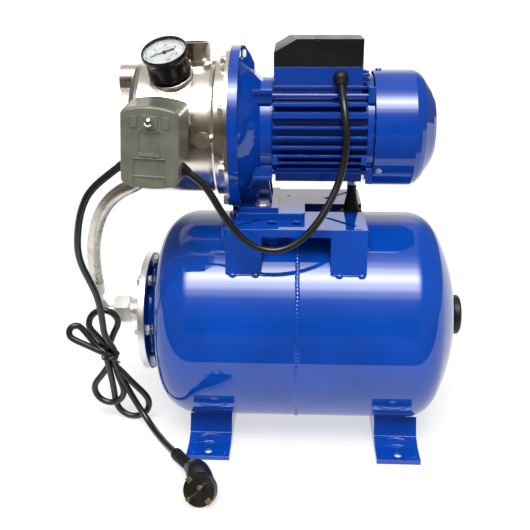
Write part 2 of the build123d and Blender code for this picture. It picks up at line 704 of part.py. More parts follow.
def lead_point(side, reach):
    """A point on the axis of a cable bush, about the switch's centre; reach 0 is in the base's ear."""
    droop = math.radians(LEAD_DROOP[side])
    x = side * (SWITCH_W / 2 - 4 + reach * math.cos(droop))
    return (x, LEAD_ENTRY_Y, LEAD_ENTRY_Z - reach * math.sin(droop))


def lead_plane(side):
    near, far = Vector(*lead_point(side, 0)), Vector(*lead_point(side, 1))
    return Plane(origin=near, x_dir=(0, 1, 0), z_dir=far - near)


def switch_base():
    """Steel base plate with two side ears for the cable bushes and the cover's stud."""
    half = SWITCH_W / 2
    plate = block((-half + 3, half - 3), (SWITCH_BACK_Y - 3, SWITCH_BACK_Y), (-34.5, 36.5))
    for side in (-1, 1):
        x0, x1 = sorted((side * (half - 5.2), side * (half - 3)))
        ear = block((x0, x1), (-129, SWITCH_BACK_Y), (-33, -9))
        plate += ear - rod(lead_point(side, -12), lead_point(side, 12), 6.6)
    plate += bar_y(0, SWITCH_STUD_Z, SWITCH_BACK_Y, SWITCH_FRONT_Y - 5.5, 2.4)
    plate -= bar_y(0, -3, SWITCH_BACK_Y - 4, SWITCH_BACK_Y + 1, 6.6)
    return on_switch(plate)


def switch_nipple():
    """Threaded nipple between the casing and the switch."""
    x, z = SWITCH_C[0], 392.0
    body = bar_y(x, z, -72, -94.9, 5.9) + hex_bar((x, -81.6, z), (x, -87.5, z), 17) - bar_y(x, z, -71, -93, 3.4)
    return body


def switch_diaphragm():
    """Round steel housing over the nipple's end."""
    return on_switch(bar_y(0, -3, -95.1, -104, 19) - bar_y(0, -3, -95, -97.5, 6.4))


def switch_spring():
    """Range spring on its adjusting stud."""
    coil = bar_y(0, -3, -104.2, -124, 6.6) - bar_y(0, -3, -104, -125, 4.6)
    return on_switch(coil)


def switch_adjuster():
    stud = bar_y(0, -3, -104.1, -134, 2.4)
    hexagon = hex_bar((0, -124.1, -3), (0, -128, -3), 11)
    return on_switch(stud + hexagon)


def switch_contacts():
    """Moulded contact carrier above the spring, with its fixed contacts."""
    body = block((-24, 24), (-126, SWITCH_BACK_Y - 3.1), (19, 25.5))
    body += block((-24, -12), (-126, -108), (12, 19.1)) + block((12, 24), (-126, -108), (12, 19.1))
    return on_switch(body)


def switch_lever():
    """Rocking contact plate: it turns about a pin near the bottom of the base."""
    y, z = LEVER_PIVOT
    plate = block((-22, -10), (y - 1.2, y + 1.2), (z + 4, 9.4))
    plate += block((10, 22), (y - 1.2, y + 1.2), (z + 4, 9.4))
    plate += block((-22, 22), (y - 1.2, y + 1.2), (z + 2, z + 7.5))
    hub = rod((-22, y, z), (22, y, z), 4)
    return on_switch(plate + hub - rod((-30, y, z), (30, y, z), 2.05))


def switch_pin():
    """Hinge pin of the lever, held by two tabs of the base."""
    y, z = LEVER_PIVOT
    pin = rod((-25.4, y, z), (25.4, y, z), 2.0)
    return on_switch(pin)


def cover_outline(inset, grow=0.0):
    """Front outline of the cover: straight sides, arched top and bottom, small corners."""
    half = SWITCH_W / 2 - inset + grow
    top, bottom = SWITCH_H / 2 - inset + grow, -SWITCH_H / 2 + inset - grow
    crown = 5.5
    arcs = [ThreePointArc((-half, top), (0, top + crown), (half, top)),
            Line((half, top), (half, bottom)),
            ThreePointArc((half, bottom), (0, bottom - crown), (-half, bottom)),
            Line((-half, bottom), (-half, top))]
    sketch = Sketch() + make_face(arcs)
    return fillet(sketch.vertices(), 7.5 - inset)


def front_bar(x, z, width, height, rise=0.9):
    """Upright slab at the cover's front: proud of it, or a recess tool where rise is negative."""
    depths = (-rise, 1.2) if rise > 0 else (-1.0, -rise)
    y = tuple(SWITCH_FRONT_Y + depth for depth in depths)
    return block((x - width / 2, x + width / 2), y, (z - height / 2, z + height / 2))


def switch_cover():
    """Deep moulded cover, wider at its open back, with raised bands and recessed panels on the front."""
    def shell(inset, front, back):
        face = Plane(origin=(0, front, 1), x_dir=(1, 0, 0), z_dir=(0, 1, 0))
        rear = Plane(origin=(0, back, 1), x_dir=(1, 0, 0), z_dir=(0, 1, 0))
        return loft([face * flip(cover_outline(inset)), rear * flip(cover_outline(inset, 2.2))])

    def flip(sketch):
        return mirror(sketch, Plane.XZ)

    body = shell(0, SWITCH_FRONT_Y, -91.4)
    body = fillet(body.edges().group_by(Axis.Y)[0], 3.4)
    body -= shell(2.2, SWITCH_FRONT_Y + 2.4, -88)
    for side in (-1, 1):
        body -= Pos(side * 32, -104, LEAD_ENTRY_Z - 2) * Box(12, 30, 17)
        body -= rod(lead_point(side, -6), lead_point(side, 20), 7.9)
        body += front_bar(side * 17, 28.5, 7.5, 12)
        body += front_bar(side * 17, -33, 0.8, 8)
    body += front_bar(0, 28.5, 17, 14)
    for z, width in PANEL_RIDGES:
        body += front_bar(0, z, width, 1.1)
    for half_w in (11.2, 16.8):
        z0, z1 = (-5.5, 18.5) if half_w < 12 else (-29.5, -9)
        body -= front_bar(0, (z0 + z1) / 2, 2 * half_w, z1 - z0 - 2.4, -0.7)
    body -= bar_y(0, SWITCH_STUD_Z, -155, -140, 2.8)
    return on_switch(body)


def switch_nut():
    """Chrome acorn nut on the cover's stud."""
    front = SWITCH_FRONT_Y
    face = make_face(Polyline((2.45, -1.1), (5.0, -1.1), (5.0, -5.5), (4.2, -8.2), (2.2, -9.8), (0, -10.2), (0, -8.0),
                              (2.45, -7.4), close=True))
    body = Pos(0, front, SWITCH_STUD_Z) * revolve(face, Axis.Y)
    return on_switch(body)


def bushes():
    """Cable bushes of the switch: flanged sleeves that taper round the drooping leads."""
    outline = [(0, -9), (8.2, -9), (8.2, -7), (6.4, -7), (6.4, 5), (4.9, BUSH_LEN), (0, BUSH_LEN)]
    face = make_face(Polyline(*[(r, 0, h) for r, h in outline], close=True))
    sleeve = revolve(face, Axis.Z)
    return [on_switch(lead_plane(side) * sleeve) for side in (-1, 1)]


# ---- pressure gauge ----
def gauge_stem():
    """Brass shank with its square, screwed into the casing's boss."""
    return on_gauge([(0, -6), (5.8, -6), (5.8, 3.2), (8.2, 3.2), (8.2, 9.8), (0, 9.8)])


def gauge_case():
    """Black drum with a rolled bezel."""
    return on_gauge([(0, 10.2), (8.7, 10.2), (8.7, 4.4), (22, 4.4), (22.6, 5), (22.6, 12),
                     (24.6, 13.5), (25.2, 22), (26.8, 23), (GAUGE_R, 24), (GAUGE_R, 33.4),
                     (26, 35), (24, 35), (24, 32.2), (24.6, 32.0), (24.6, 26.5), (0, 26.5)])


def gauge_dial():
    return on_gauge([(0, 26.6), (24.3, 26.6), (24.3, 27.4), (1.0, 27.4), (1.0, 29.6), (0, 29.6)])


def gauge_needle():
    """Pointer with its tail and hub."""
    blade = make_face(Polyline((-6, -1.1), (-6, 1.1), (17.5, 0.35), (17.5, -0.35), close=True))
    shape = Pos(0, 0, 28.6) * extrude(blade, 0.5) + Pos(0, 0, 28.2) * Cylinder(2.6, 1.6, align=FROM_BASE)
    shape -= Cylinder(1.06, 200)
    return gauge_frame() * Rot(0, 0, NEEDLE_TURN) * shape


def gauge_lens():
    return on_gauge([(0, 31.0), (24.4, 31.0), (24.4, 31.9), (23.4, 32.6), (0, 33.2)])


# ---- hose to the tank ----
HOSE_ROUTE = [(-188.5, -81.8, 346), (-200.3, -81.6, 338.6), (-214, -79, 332.5), (-228, -75, 322), (-241.5, -68, 306.5),
              (-252.5, -59, 286.5), (-262, -47, 260), (-268, -34, 235), (-271, -22.5, 211.5), (-272, -15, 191.5)]


def upper_fitting():
    """Elbow fitting at the casing with the hose's upper ferrule."""
    x, z = HOSE_PORT
    port = rod((x, -66, z), (x, -89.5, z), 4.9) + rod((x, -76, z), (x, -89.5, z), 9)
    start, top = Vector(*HOSE_ROUTE[0]), Vector(x, -81.8, z)
    out = (start - top).normalized()
    port += rod(top + out * 4, start - out * 14, 5.7) + rod(start - out * 17, start, 8.9)
    return port


def lower_ferrule():
    end, before = Vector(*HOSE_ROUTE[-1]), Vector(*HOSE_ROUTE[-2])
    out = (end - before).normalized()
    return rod(end, end + out * 18.5, 8.7)


def hose_elbow():
    """Bent steel tube from the lower ferrule to the swivel nut, with its collar inside the nut."""
    end, before = Vector(*HOSE_ROUTE[-1]), Vector(*HOSE_ROUTE[-2])
    out = (end - before).normalized()
    start = end + out * 18.6
    corner = start + out * 15
    points = [start, corner, Vector(-266, 0.0, TANK_Z), Vector(-246.4, 0, TANK_Z)]
    path = FilletPolyline(*points, radius=[9, 7])
    pipe = sweep(Plane(origin=path @ 0, z_dir=path % 0) * Circle(5.3), path=path)
    return pipe + ring_x(-249.3, -246.3, 13.0, 0, TANK_Z)


def hose_nut():
    """Swivel hexagon nut on the tank's nipple."""
    nut = hex_bar((-253, 0, TANK_Z), (-232.5, 0, TANK_Z), 34.2)
    nut = nut & lathe([(-253, 0), (-253, 17.6), (-250.5, 20), (-235, 20), (-232.5, 17.6), (-232.5, 0)], TANK_Z)
    return nut - ring_x(-249.6, -230, 14.5, 0, TANK_Z) - ring_x(-260, -240, 5.8, 0, TANK_Z)


def drain_plug():
    x = DRAIN_X
    plug = rod((x, -76.6, 391), (x, -82, 391), 5.9) + hex_bar((x, -81.7, 391), (x, -88, 391), 13)
    return plug


# ---- cords ----
MOTOR_LEAD = [(38.5, -48.5, 448), (39.1, -58.5, 440.4), (41.2, -72, 428), (43.6, -80.5, 408), (44.4, -83, 385),
              (41.5, -87, 363), (35.5, -92.5, 344), (27, -99.5, 326), (17, -106.5, 309), (4.5, -111.5, 293.5),
              (-10.5, -114.5, 280.5), (-28.5, -116, 272.6), (-46.5, -117, 273), (-63.5, -118, 280.6),
              (-78, -118, 294.2), (-89, -118, 309), (-97.2, -118, 322.6), (-104, -118.3, 335.5),
              (-110.9, -118.7, 346.5), (-119.3, -119, 355.8)]
POWER_LEAD = [(-228, -119, 354), (-241.5, -118, 341), (-249.5, -116, 329), (-257, -112.5, 312), (-263, -107.5, 290),
              (-267.5, -100.5, 266), (-267.5, -91.5, 243.5), (-262, -82.5, 220), (-257.5, -74, 198.5),
              (-256, -67, 176), (-256.5, -60.5, 154), (-257.5, -54, 131)]
HANK_Y = -42.0
HANK_TIE = (-255.0, 97.0)
HANK_LOBES = (((-266.0, 148.0), 16.0), ((-300.0, 127.0), 9.5), ((-262.0, 46.0), 23.0), ((-231.0, 31.5), 27.2))
TAIL_LEAD = [(-248.5, -43, 82), (-239, -43.5, 59), (-229, -45.5, 38), (-218.5, -50, 21.5), (-208, -58, 10.5),
             (-198.5, -70, 5), (-187, -87.5, 4.0), (-172.5, -109.5, 4.8), (-158, -131.5, 8.3)]


def lead_exit(side, reach):
    """Row-frame point on the axis of a cable bush."""
    return tuple(on_switch(Pos(*lead_point(side, reach)) * Box(1, 1, 1)).center())


def motor_cable():
    return cord_tube("motor_cable", MOTOR_LEAD + [lead_exit(1, BUSH_LEN)], LEAD_D)


def power_cord_upper():
    last = (HANK_TIE[0] - 1.5, HANK_Y - 6, 109.0)
    return cord_tube("power_cord_upper", [lead_exit(-1, BUSH_LEN)] + POWER_LEAD + [last], LEAD_D)


def power_cord_hank():
    """Closed solid of the tied loops: one flat lobe for each loop."""
    solid = None
    for (x, z), radius in HANK_LOBES:
        tip = Pos(x, z) * Circle(radius)
        root = Pos(*HANK_TIE) * Circle(9.5)
        lobe = make_hull(tip.edges() + root.edges())
        slab = extrude(Plane.XZ.offset(-HANK_Y) * lobe, 11, both=True)
        solid = slab if solid is None else solid + slab
    return solid


def cord_tie():
    """Wire tie round the waist of the hank."""
    x, z = HANK_TIE
    outer = Pos(x, HANK_Y, z) * Rot(0, 26, 0) * extrude(Ellipse(13.5, 15), 2, both=True)
    inner = Pos(x, HANK_Y, z) * Rot(0, 26, 0) * extrude(Ellipse(12, 13.5), 3, both=True)
    return outer - inner


# ---- mains plug ----
PLUG_FACE = Vector(-118.0, -218.0, 19.0)
PLUG_AXIS = Vector(-0.2, -0.88, 0.43).normalized()
PLUG_DISC_R = 18.8
PLUG_ROLL = -38.0
RELIEF_LEN = 40.0


def plug_frame():
    """Frame on the contact face: x towards one earth clip, y towards one pin, z outwards."""
    return Plane(origin=PLUG_FACE, x_dir=(0.97, -0.22, 0), z_dir=PLUG_AXIS).location * Rot(0, 0, PLUG_ROLL)


def relief_ends():
    """The two ends of the strain relief: at the plug's neck and at the lead."""
    lead_end = Vector(*TAIL_LEAD[-1])
    out = (lead_end - Vector(*TAIL_LEAD[-2])).normalized()
    return lead_end + out * RELIEF_LEN, lead_end, out


def strain_relief():
    """Tapered ribbed sleeve over the lead at the plug."""
    _, end, out = relief_ends()
    outline = [(0, 0), (0, 7.2), (4.6, 7.6), (4.6, 5.0)]
    for k in range(6):
        x = 7.0 + 5.2 * k
        r = 7.5 - 0.1 * k
        outline += [(x, 5.0 + 0.1 * k), (x, r), (x + 2.8, r), (x + 2.8, 5.1 + 0.1 * k)]
    outline += [(RELIEF_LEN, 6.6), (RELIEF_LEN, 0)]
    face = make_face(Polyline(*[(r, 0, x) for x, r in outline], close=True))
    return Plane(origin=end, z_dir=out) * revolve(face, Axis.Z)


def plug_body():
    """Angled moulded plug: round contact face, wedge back, neck towards the lead."""
    frame = plug_frame()
    disc = frame * Pos(0, 0, -12) * Cylinder(PLUG_DISC_R, 12, align=FROM_BASE)
    neck, _, out = relief_ends()
    near = Plane(origin=neck, z_dir=out) * Circle(7.8)
    middle = Plane(origin=neck + out * 18 + Vector(0, 0, 3.5), z_dir=out) * Circle(13)
    far = Plane(frame).offset(-11.5) * Circle(17.2)
    body = loft([near, middle, far]) + disc
    for side in (-1, 1):
        body -= frame * Pos(0, side * 9.5, -8) * Cylinder(2.45, 30, align=FROM_BASE)
    floor = Pos(0, 0, -50) * Box(1000, 1000, 100.8)
    return body - floor


def plug_pins():
    """Two round pins and the earth clips at the edge of the contact face."""
    frame = plug_frame()
    pins = [frame * Pos(0, side * 9.5, -7.9) * Cylinder(2.4, 26.9, align=FROM_BASE) for side in (-1, 1)]
    return pins


def earth_clips():
    frame = plug_frame()
    clips = []
    for side in (-1, 1):
        face_plate = Pos(side * 16.7, 0, 0.1) * Box(6.4, 6.0, 1.2, align=FROM_BASE)
        leg = Pos(side * 19.4, 0, -9) * Box(1.0, 6.0, 10.3, align=FROM_BASE)
        clips.append(frame * (face_plate + leg))
    return clips


# ---- write every node ----
save("tank_shell", tank_shell())
save("tank_bladder", bladder())
save("tank_flange", tank_flange())
save("flange_bolts", *flange_bolts())
save("air_valve", air_valve())
save("valve_cap", valve_cap())
save("tank_foot_left", foot(-FOOT_X))
save("tank_foot_right", foot(FOOT_X))
save("pump_saddle", saddle())
save("base_plate", base_plate())
save("pump_bolts", *casing_bolts(), *base_bolts())
save("pump_casing", casing())
save("casing_fittings", switch_nipple(), drain_plug())
save("casing_o_ring", o_ring())
save("seal_plate", seal_plate())
save("seal_fixed_ring", seal_fixed())
save("seal_turning_ring", seal_turning())
save("impeller", impeller())
save("impeller_nut", impeller_nut())
save("diffuser", diffuser())
save("ejector", ejector(), ejector_nozzle())
save("motor_bell", bell())
save("motor_housing", motor_housing())
save("tie_rods", *tie_rods())
save("stator_core", stator_core())
save("stator_windings", *windings())
save("rotor_core", rotor_core())
save("motor_shaft", shaft())
save("ball_bearings", ball_bearing(-60, -49.2), ball_bearing(65, 77))
save("end_shield", end_shield())
save("cooling_fan", fan())
save("fan_cover", fan_cover())
save("cover_screws", *cover_screws(), *box_screws())
save("terminal_cover", terminal_cover())
save("run_capacitor", capacitor())
save("terminal_block", terminal_block())
save("cable_gland", cable_gland())
save("support_foot", support_foot())
save("support_stud", support_stud())
save("switch_base", switch_base())
save("switch_mechanism", switch_diaphragm(), switch_spring(), switch_adjuster(), switch_pin(),
     switch_contacts())
save("switch_lever", switch_lever())
save("switch_cover", switch_cover())
save("switch_acorn_nut", switch_nut())
save("switch_bushes", *bushes())
save("gauge_case", gauge_case(), gauge_stem())
save("gauge_dial", gauge_dial())
save("gauge_needle", gauge_needle())
save("gauge_lens", gauge_lens())
save("hose_braid", cord_tube("hose_braid", HOSE_ROUTE, HOSE_D))
save("hose_fittings", upper_fitting(), lower_ferrule(), hose_elbow())
save("hose_nut", hose_nut())
save("motor_cable", motor_cable())
save("power_cord_upper", power_cord_upper())
save("power_cord_hank", power_cord_hank())
save("power_cord_tail", cord_tube("power_cord_tail", TAIL_LEAD, LEAD_D))
save("cord_tie", cord_tie())
save("plug_strain_relief", strain_relief())
save("plug_body", plug_body())
save("plug_contacts", *plug_pins(), *earth_clips())
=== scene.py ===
import math
import random

import bmesh
import bpy
from mathutils import Matrix, Vector


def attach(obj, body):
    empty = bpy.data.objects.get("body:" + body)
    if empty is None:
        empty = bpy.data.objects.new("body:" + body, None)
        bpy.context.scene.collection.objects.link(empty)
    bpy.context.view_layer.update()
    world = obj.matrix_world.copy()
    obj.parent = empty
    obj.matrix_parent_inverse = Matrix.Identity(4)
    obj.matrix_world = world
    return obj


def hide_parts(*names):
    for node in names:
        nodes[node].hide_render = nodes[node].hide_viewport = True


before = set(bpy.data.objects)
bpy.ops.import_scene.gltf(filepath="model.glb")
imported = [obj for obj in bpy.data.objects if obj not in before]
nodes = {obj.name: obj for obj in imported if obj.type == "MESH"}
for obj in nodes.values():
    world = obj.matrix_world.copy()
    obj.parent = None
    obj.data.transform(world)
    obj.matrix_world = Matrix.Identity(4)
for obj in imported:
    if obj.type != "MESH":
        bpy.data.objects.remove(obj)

# Looks of a shallow well jet pump on its pressure tank. Lengths in this script are in millimetres in the
# CAD frame, and MM turns them into Blender's metres.
MM = 0.001
scene = bpy.context.scene
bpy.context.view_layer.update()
ROOT = "pump_set"
rng = random.Random(11)

# ---- driving sizes, the same as in the CAD model ----
TANK_R, TANK_Z = 135.0, 145.0
# Dished heads by side: x where the straight wall ends, knuckle radius, crown radius.
HEADS = {-1: (-136.0, 49.5, 290.0), 1: (130.0, 41.0, 239.0)}
SEAM_X = -9.0                       # weld between the two halves of the tank
AXIS_Z = 392.0                      # height of the pump's axis
CASING_R = 78.5
HOSE_D = 16.5
FOOT_X = 118.5                      # middle of each foot, left and right
GAUGE_X, GAUGE_TILT, GAUGE_LEAN = -157.0, 31.0, 7.0
POINTER_TURN = 198.0                # the pointer's zero stop, in degrees from the gauge's right
SCALE_SWEEP = 270.0                 # from zero to full scale, clockwise

# ---- sizes of what is drawn here only ----
LEAD_D = 8.4
LEG_Y = 99.8                        # where the bracket's legs meet the tank, front and back
DIAL_TOP = 30.4                     # the dial's face, up the gauge's axis
BRAID_STEP = 0.45                   # rings along the hose, and how far the braid stands out of its core

# ---- light ----
# Brightness of the surroundings against elevation in degrees, from level in front, over the top, to level
# behind.
SKY_PEAK, SKY_ENDS = 18.0, 0.16
SKY_WARMTH = (1.0, 0.78, 0.58)      # tint of the low front, which the casing reflects
WARM_FRONT = (0.16, 0.22)           # the tint fades between these shares of the way over
SKY = ((0, 0.04), (10, 0.05), (28, 0.25), (36, 0.6), (44, 3.2), (52, 10), (62, 18.0), (70, 10), (76, 4.2),
       (84, 1.4), (92, 0.7), (104, 0.6), (140, 0.6), (150, 1.3), (180, 1.4))
# Sideways part of a direction where the softbox starts to fade, and where it ends.
SOFTBOX_SIDES = (0.14, 0.5)
CAMERA_SEES = 2.0                   # brightness of the surroundings where the camera sees them directly

# ---- cord routes ----
HOSE_ROUTE = [(-188.5, -81.8, 346), (-200.3, -81.6, 338.6), (-214, -79, 332.5), (-228, -75, 322),
              (-241.5, -68, 306.5), (-252.5, -59, 286.5), (-262, -47, 260), (-268, -34, 235),
              (-271, -22.5, 211.5), (-272, -15, 191.5)]
MOTOR_ROUTE = [(38.5, -48.5, 448), (39.1, -58.5, 440.4), (41.2, -72, 428), (43.6, -80.5, 408),
               (44.4, -83, 385), (41.5, -87, 363), (35.5, -92.5, 344), (27, -99.5, 326), (17, -106.5, 309),
               (4.5, -111.5, 293.5), (-10.5, -114.5, 280.5), (-28.5, -116, 272.6), (-46.5, -117, 273),
               (-63.5, -118, 280.6), (-78, -118, 294.2), (-89, -118, 309), (-97.2, -118, 322.6),
               (-104, -118.3, 335.5), (-110.9, -118.7, 346.5), (-119.3, -119, 355.8), (-129.14, -119, 363.07)]
POWER_ROUTE = [(-207.13, -119, 369.11), (-228, -119, 354), (-241.5, -118, 341), (-249.5, -116, 329),
               (-257, -112.5, 312), (-263, -107.5, 290), (-267.5, -100.5, 266), (-267.5, -91.5, 243.5),
               (-262, -82.5, 220), (-257.5, -74, 198.5), (-256, -67, 176), (-256.5, -60.5, 154),
               (-257.5, -54, 131)]
TAIL_ROUTE = [(-248.5, -43, 82), (-239, -43.5, 59), (-229, -45.5, 38), (-218.5, -50, 21.5), (-208, -58, 10.5),
              (-198.5, -70, 5), (-187, -87.5, 4.0), (-172.5, -109.5, 4.8), (-158, -131.5, 8.3)]
TIE = (-255.0, -42.0, 97.0)         # middle of the wire tie round the hank
# Loops of the hank in the order that the lead runs through them: tip (x, z), tip radius, how far the way out
# and the way back stand to either side in depth.
LOOPS = (((-260.5, 46.5), 20.0, 3.0), ((-260.5, 143.5), 18.0, -4.0), ((-230.5, 28.5), 23.0, -4.5),
         ((-298.5, 130.0), 8.5, 4.0))
STRAND_SPREAD = 6.6                 # from the tie's middle to each strand
STRANDS = len(LOOPS) + 1
SMALL_TIP = 12.0                    # a loop with a smaller tip radius takes fewer points round it


# ---- helpers ----
def at(x, y, z):
    """Row-frame point from millimetres."""
    return Vector((x, y, z)) * MM


def piece(name, bm, material, body=ROOT, replaces=(), sharp=38):
    """Turns a bmesh into a piece that rides on a body."""
    bmesh.ops.recalc_face_normals(bm, faces=bm.faces)
    mesh = bpy.data.meshes.new(name)
    bm.to_mesh(mesh)
    bm.free()
    mesh.shade_smooth()
    mesh.set_sharp_from_angle(angle=math.radians(sharp))
    mesh.materials.append(material)
    obj = bpy.data.objects.new(name, mesh)
    scene.collection.objects.link(obj)
    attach(obj, body)
    if replaces:
        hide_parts(*replaces)
    return obj


def bridge(bm, low, high, loop=True):
    """Quads between two rows of vertices; a row of one vertex is a pole."""
    count = max(len(low), len(high))
    for k in range(count if loop else count - 1):
        n = (k + 1) % count
        if len(low) == 1 and len(high) == 1:
            continue
        if len(low) == 1:
            bm.faces.new((low[0], high[k], high[n]))
        elif len(high) == 1:
            bm.faces.new((low[k], low[n], high[0]))
        else:
            bm.faces.new((low[k], low[n], high[n], high[k]))


def spin(bm, outline, place, segments=128, closed=False):
    """Surface of revolution about local Z, from (radius, height) in millimetres."""
    rows = []
    for radius, height in outline:
        if radius < 1e-6:
            rows.append([bm.verts.new(place @ at(0, 0, height))])
            continue
        turn = 2 * math.pi / segments
        rows.append([bm.verts.new(place @ at(radius * math.cos(a), radius * math.sin(a), height))
                     for a in (turn * k for k in range(segments))])
    for low, high in zip(rows, rows[1:] + rows[:1] if closed else rows[1:]):
        bridge(bm, low, high)


def rounded(outline, radius, steps=4, closed=False):
    """Outline with each corner turned into a short curve of a radius in millimetres."""
    result = []
    last = len(outline) - 1
    for k, corner in enumerate(outline):
        here = Vector(corner)
        if not closed and k in (0, last):
            result.append(tuple(here))
            continue
        before, after = Vector(outline[k - 1]), Vector(outline[(k + 1) % len(outline)])
        size = min(radius, (here - before).length * 0.45, (after - here).length * 0.45)
        start = here + (before - here).normalized() * size
        end = here + (after - here).normalized() * size
        for step in range(steps + 1):
            t = step / steps
            result.append(tuple(start * (1 - t) ** 2 + here * 2 * t * (1 - t) + end * t**2))
    return result


def along_x(z):
    """Frame at a height whose local Z runs along the row's X."""
    return Matrix.Translation(at(0, 0, z)) @ Matrix.Rotation(math.pi / 2, 4, "Y")


def tube_rows(bm, points, radius_at, sides):
    """Rings along a line of points in metres, with frames carried along without twist."""
    tangents = []
    for k in range(len(points)):
        ahead, behind = points[min(k + 1, len(points) - 1)], points[max(k - 1, 0)]
        tangents.append((ahead - behind).normalized())
    normal = tangents[0].orthogonal().normalized()
    rows, travelled = [], 0.0
    for k, (here, tangent) in enumerate(zip(points, tangents)):
        if k:
            travelled += (here - points[k - 1]).length
            normal = (normal - tangent * normal.dot(tangent)).normalized()
        side = tangent.cross(normal)
        row = []
        for s in range(sides):
            angle = 2 * math.pi * s / sides
            radius = radius_at(travelled, angle)
            row.append(bm.verts.new(here + (normal * math.cos(angle) + side * math.sin(angle)) * radius))
        rows.append(row)
    for low, high in zip(rows, rows[1:]):
        bridge(bm, low, high)
    return rows


def spline_curve(name, route):
    """NURBS curve of order 3 through the frame's route, given in millimetres."""
    data = bpy.data.curves.new(name, "CURVE")
    data.dimensions = "3D"
    spline = data.splines.new("NURBS")
    spline.points.add(len(route) - 1)
    for target, source in zip(spline.points, route):
        target.co = (*at(*source), 1.0)
    spline.order_u = 3
    spline.use_endpoint_u = True
    spline.resolution_u = 12
    obj = bpy.data.objects.new(name, data)
    scene.collection.objects.link(obj)
    return obj


def centreline(route):
    """Points in metres along the NURBS spline of a route."""
    probe = spline_curve("probe", route)
    depsgraph = bpy.context.evaluated_depsgraph_get()
    mesh = bpy.data.meshes.new_from_object(probe.evaluated_get(depsgraph))
    points = [v.co.copy() for v in mesh.vertices]
    bpy.data.objects.remove(probe)
    bpy.data.meshes.remove(mesh)
    return points


def resampled(points, spacing):
    """Evenly spaced points along a line of points, in metres."""
    steps = [0.0]
    for a, b in zip(points, points[1:]):
        steps.append(steps[-1] + (b - a).length)
    count = max(2, round(steps[-1] / spacing))
    result, k = [], 0
    for n in range(count + 1):
        want = steps[-1] * n / count
        while k < len(steps) - 2 and steps[k + 1] < want:
            k += 1
        span = steps[k + 1] - steps[k]
        result.append(points[k].lerp(points[k + 1], (want - steps[k]) / span if span else 0.0))
    return result


def length_of(points):
    return sum((b - a).length for a, b in zip(points, points[1:]))


# ---- materials ----
RANGE_SOCKETS = ("From Min", "From Max", "To Min", "To Max")


class Shader:
    """Small node-tree writer round one Principled shader."""

    def __init__(self, name, base, metallic=0.0, roughness=0.4, **fixed):
        self.material = bpy.data.materials.new(name)
        self.material.use_nodes = True
        self.tree = self.material.node_tree
        self.shader = self.tree.nodes["Principled BSDF"]
        self.base = base
        self.shader.inputs["Base Color"].default_value = (*base, 1)
        self.shader.inputs["Metallic"].default_value = metallic
        self.shader.inputs["Roughness"].default_value = roughness
        for socket, value in fixed.items():
            self.shader.inputs[socket.replace("_", " ")].default_value = value
        self.coords = self.node("ShaderNodeTexCoord").outputs["Object"]
        self.normal = None

    def node(self, kind, **values):
        made = self.tree.nodes.new(kind)
        for key, value in values.items():
            if hasattr(made, key):
                setattr(made, key, value)
            else:
                made.inputs[key.replace("_", " ")].default_value = value
        return made

    def link(self, source, target):
        self.tree.links.new(source, target)

    def noise(self, scale, detail=3.0, stretch=(1, 1, 1), distortion=0.0):
        """Noise in metres; stretch squeezes the pattern along an axis."""
        mapping = self.node("ShaderNodeMapping")
        mapping.inputs["Scale"].default_value = stretch
        self.link(self.coords, mapping.inputs["Vector"])
        noise = self.node("ShaderNodeTexNoise", Scale=scale, Detail=detail, Distortion=distortion)
        self.link(mapping.outputs["Vector"], noise.inputs["Vector"])
        return noise.outputs["Fac"]

    def remap(self, value, low, high, to_low, to_high):
        node = self.node("ShaderNodeMapRange")
        for socket, number in zip(RANGE_SOCKETS, (low, high, to_low, to_high)):
            node.inputs[socket].default_value = number
        self.link(value, node.inputs["Value"])
        return node.outputs["Result"]

    def mix_colour(self, factor, first, second):
        """Colour between two; each is a colour or a socket."""
        node = self.node("ShaderNodeMix", data_type="RGBA")
        self.link(factor, node.inputs["Factor"])
        for socket, value in ((node.inputs[6], first), (node.inputs[7], second)):
            if isinstance(value, tuple):
                socket.default_value = (*value, 1)
            else:
                self.link(value, socket)
        return node.outputs[2]

    def colour(self, source):
        self.link(source, self.shader.inputs["Base Color"])

    def roughness(self, source):
        self.link(source, self.shader.inputs["Roughness"])

    def bump(self, height, strength, distance_mm):
        """Stacks a bump on what the normal already is."""
        node = self.node("ShaderNodeBump", Strength=strength, Distance=distance_mm * MM)
        self.link(height, node.inputs["Height"])
        if self.normal is not None:
            self.link(self.normal, node.inputs["Normal"])
        self.normal = node.outputs["Normal"]
        self.link(self.normal, self.shader.inputs["Normal"])

    def soft_edges(self, radius_mm, coat=True):
        """Rounds the shading of hard edges."""
        node = self.node("ShaderNodeBevel", samples=4, Radius=radius_mm * MM)
        self.normal = node.outputs["Normal"]
        self.link(self.normal, self.shader.inputs["Normal"])
        if coat:
            self.link(self.normal, self.shader.inputs["Coat Normal"])


def varied(shader, scale, spread, rough_low, rough_high):
    """Colour and roughness that wander a little over the surface."""
    cloud = shader.noise(scale, detail=4)
    dark = tuple(c * (1 - spread) for c in shader.base)
    light = tuple(min(1, c * (1 + spread)) for c in shader.base)
    shader.colour(shader.mix_colour(shader.remap(cloud, 0.35, 0.65, 0, 1), dark, light))
    shader.roughness(shader.remap(cloud, 0.3, 0.7, rough_low, rough_high))


def paint(name, base, edge_mm=0.0, peel=0.05, coat_rough=0.035):
    """Glossy paint: a coat over a slightly uneven colour, with fine orange peel."""
    shader = Shader(name, base, roughness=0.42, Coat_Weight=1.0, Coat_Roughness=coat_rough, Coat_IOR=1.6,
                    Specular_IOR_Level=0.0)
    if edge_mm:
        shader.soft_edges(edge_mm)
    varied(shader, 14.0, 0.10, 0.36, 0.5)
    shader.bump(shader.noise(210.0, detail=2), peel, 0.12)
    shader.bump(shader.noise(34.0, detail=1), peel, 0.5)
    shader.link(shader.normal, shader.shader.inputs["Coat Normal"])
    return shader.material


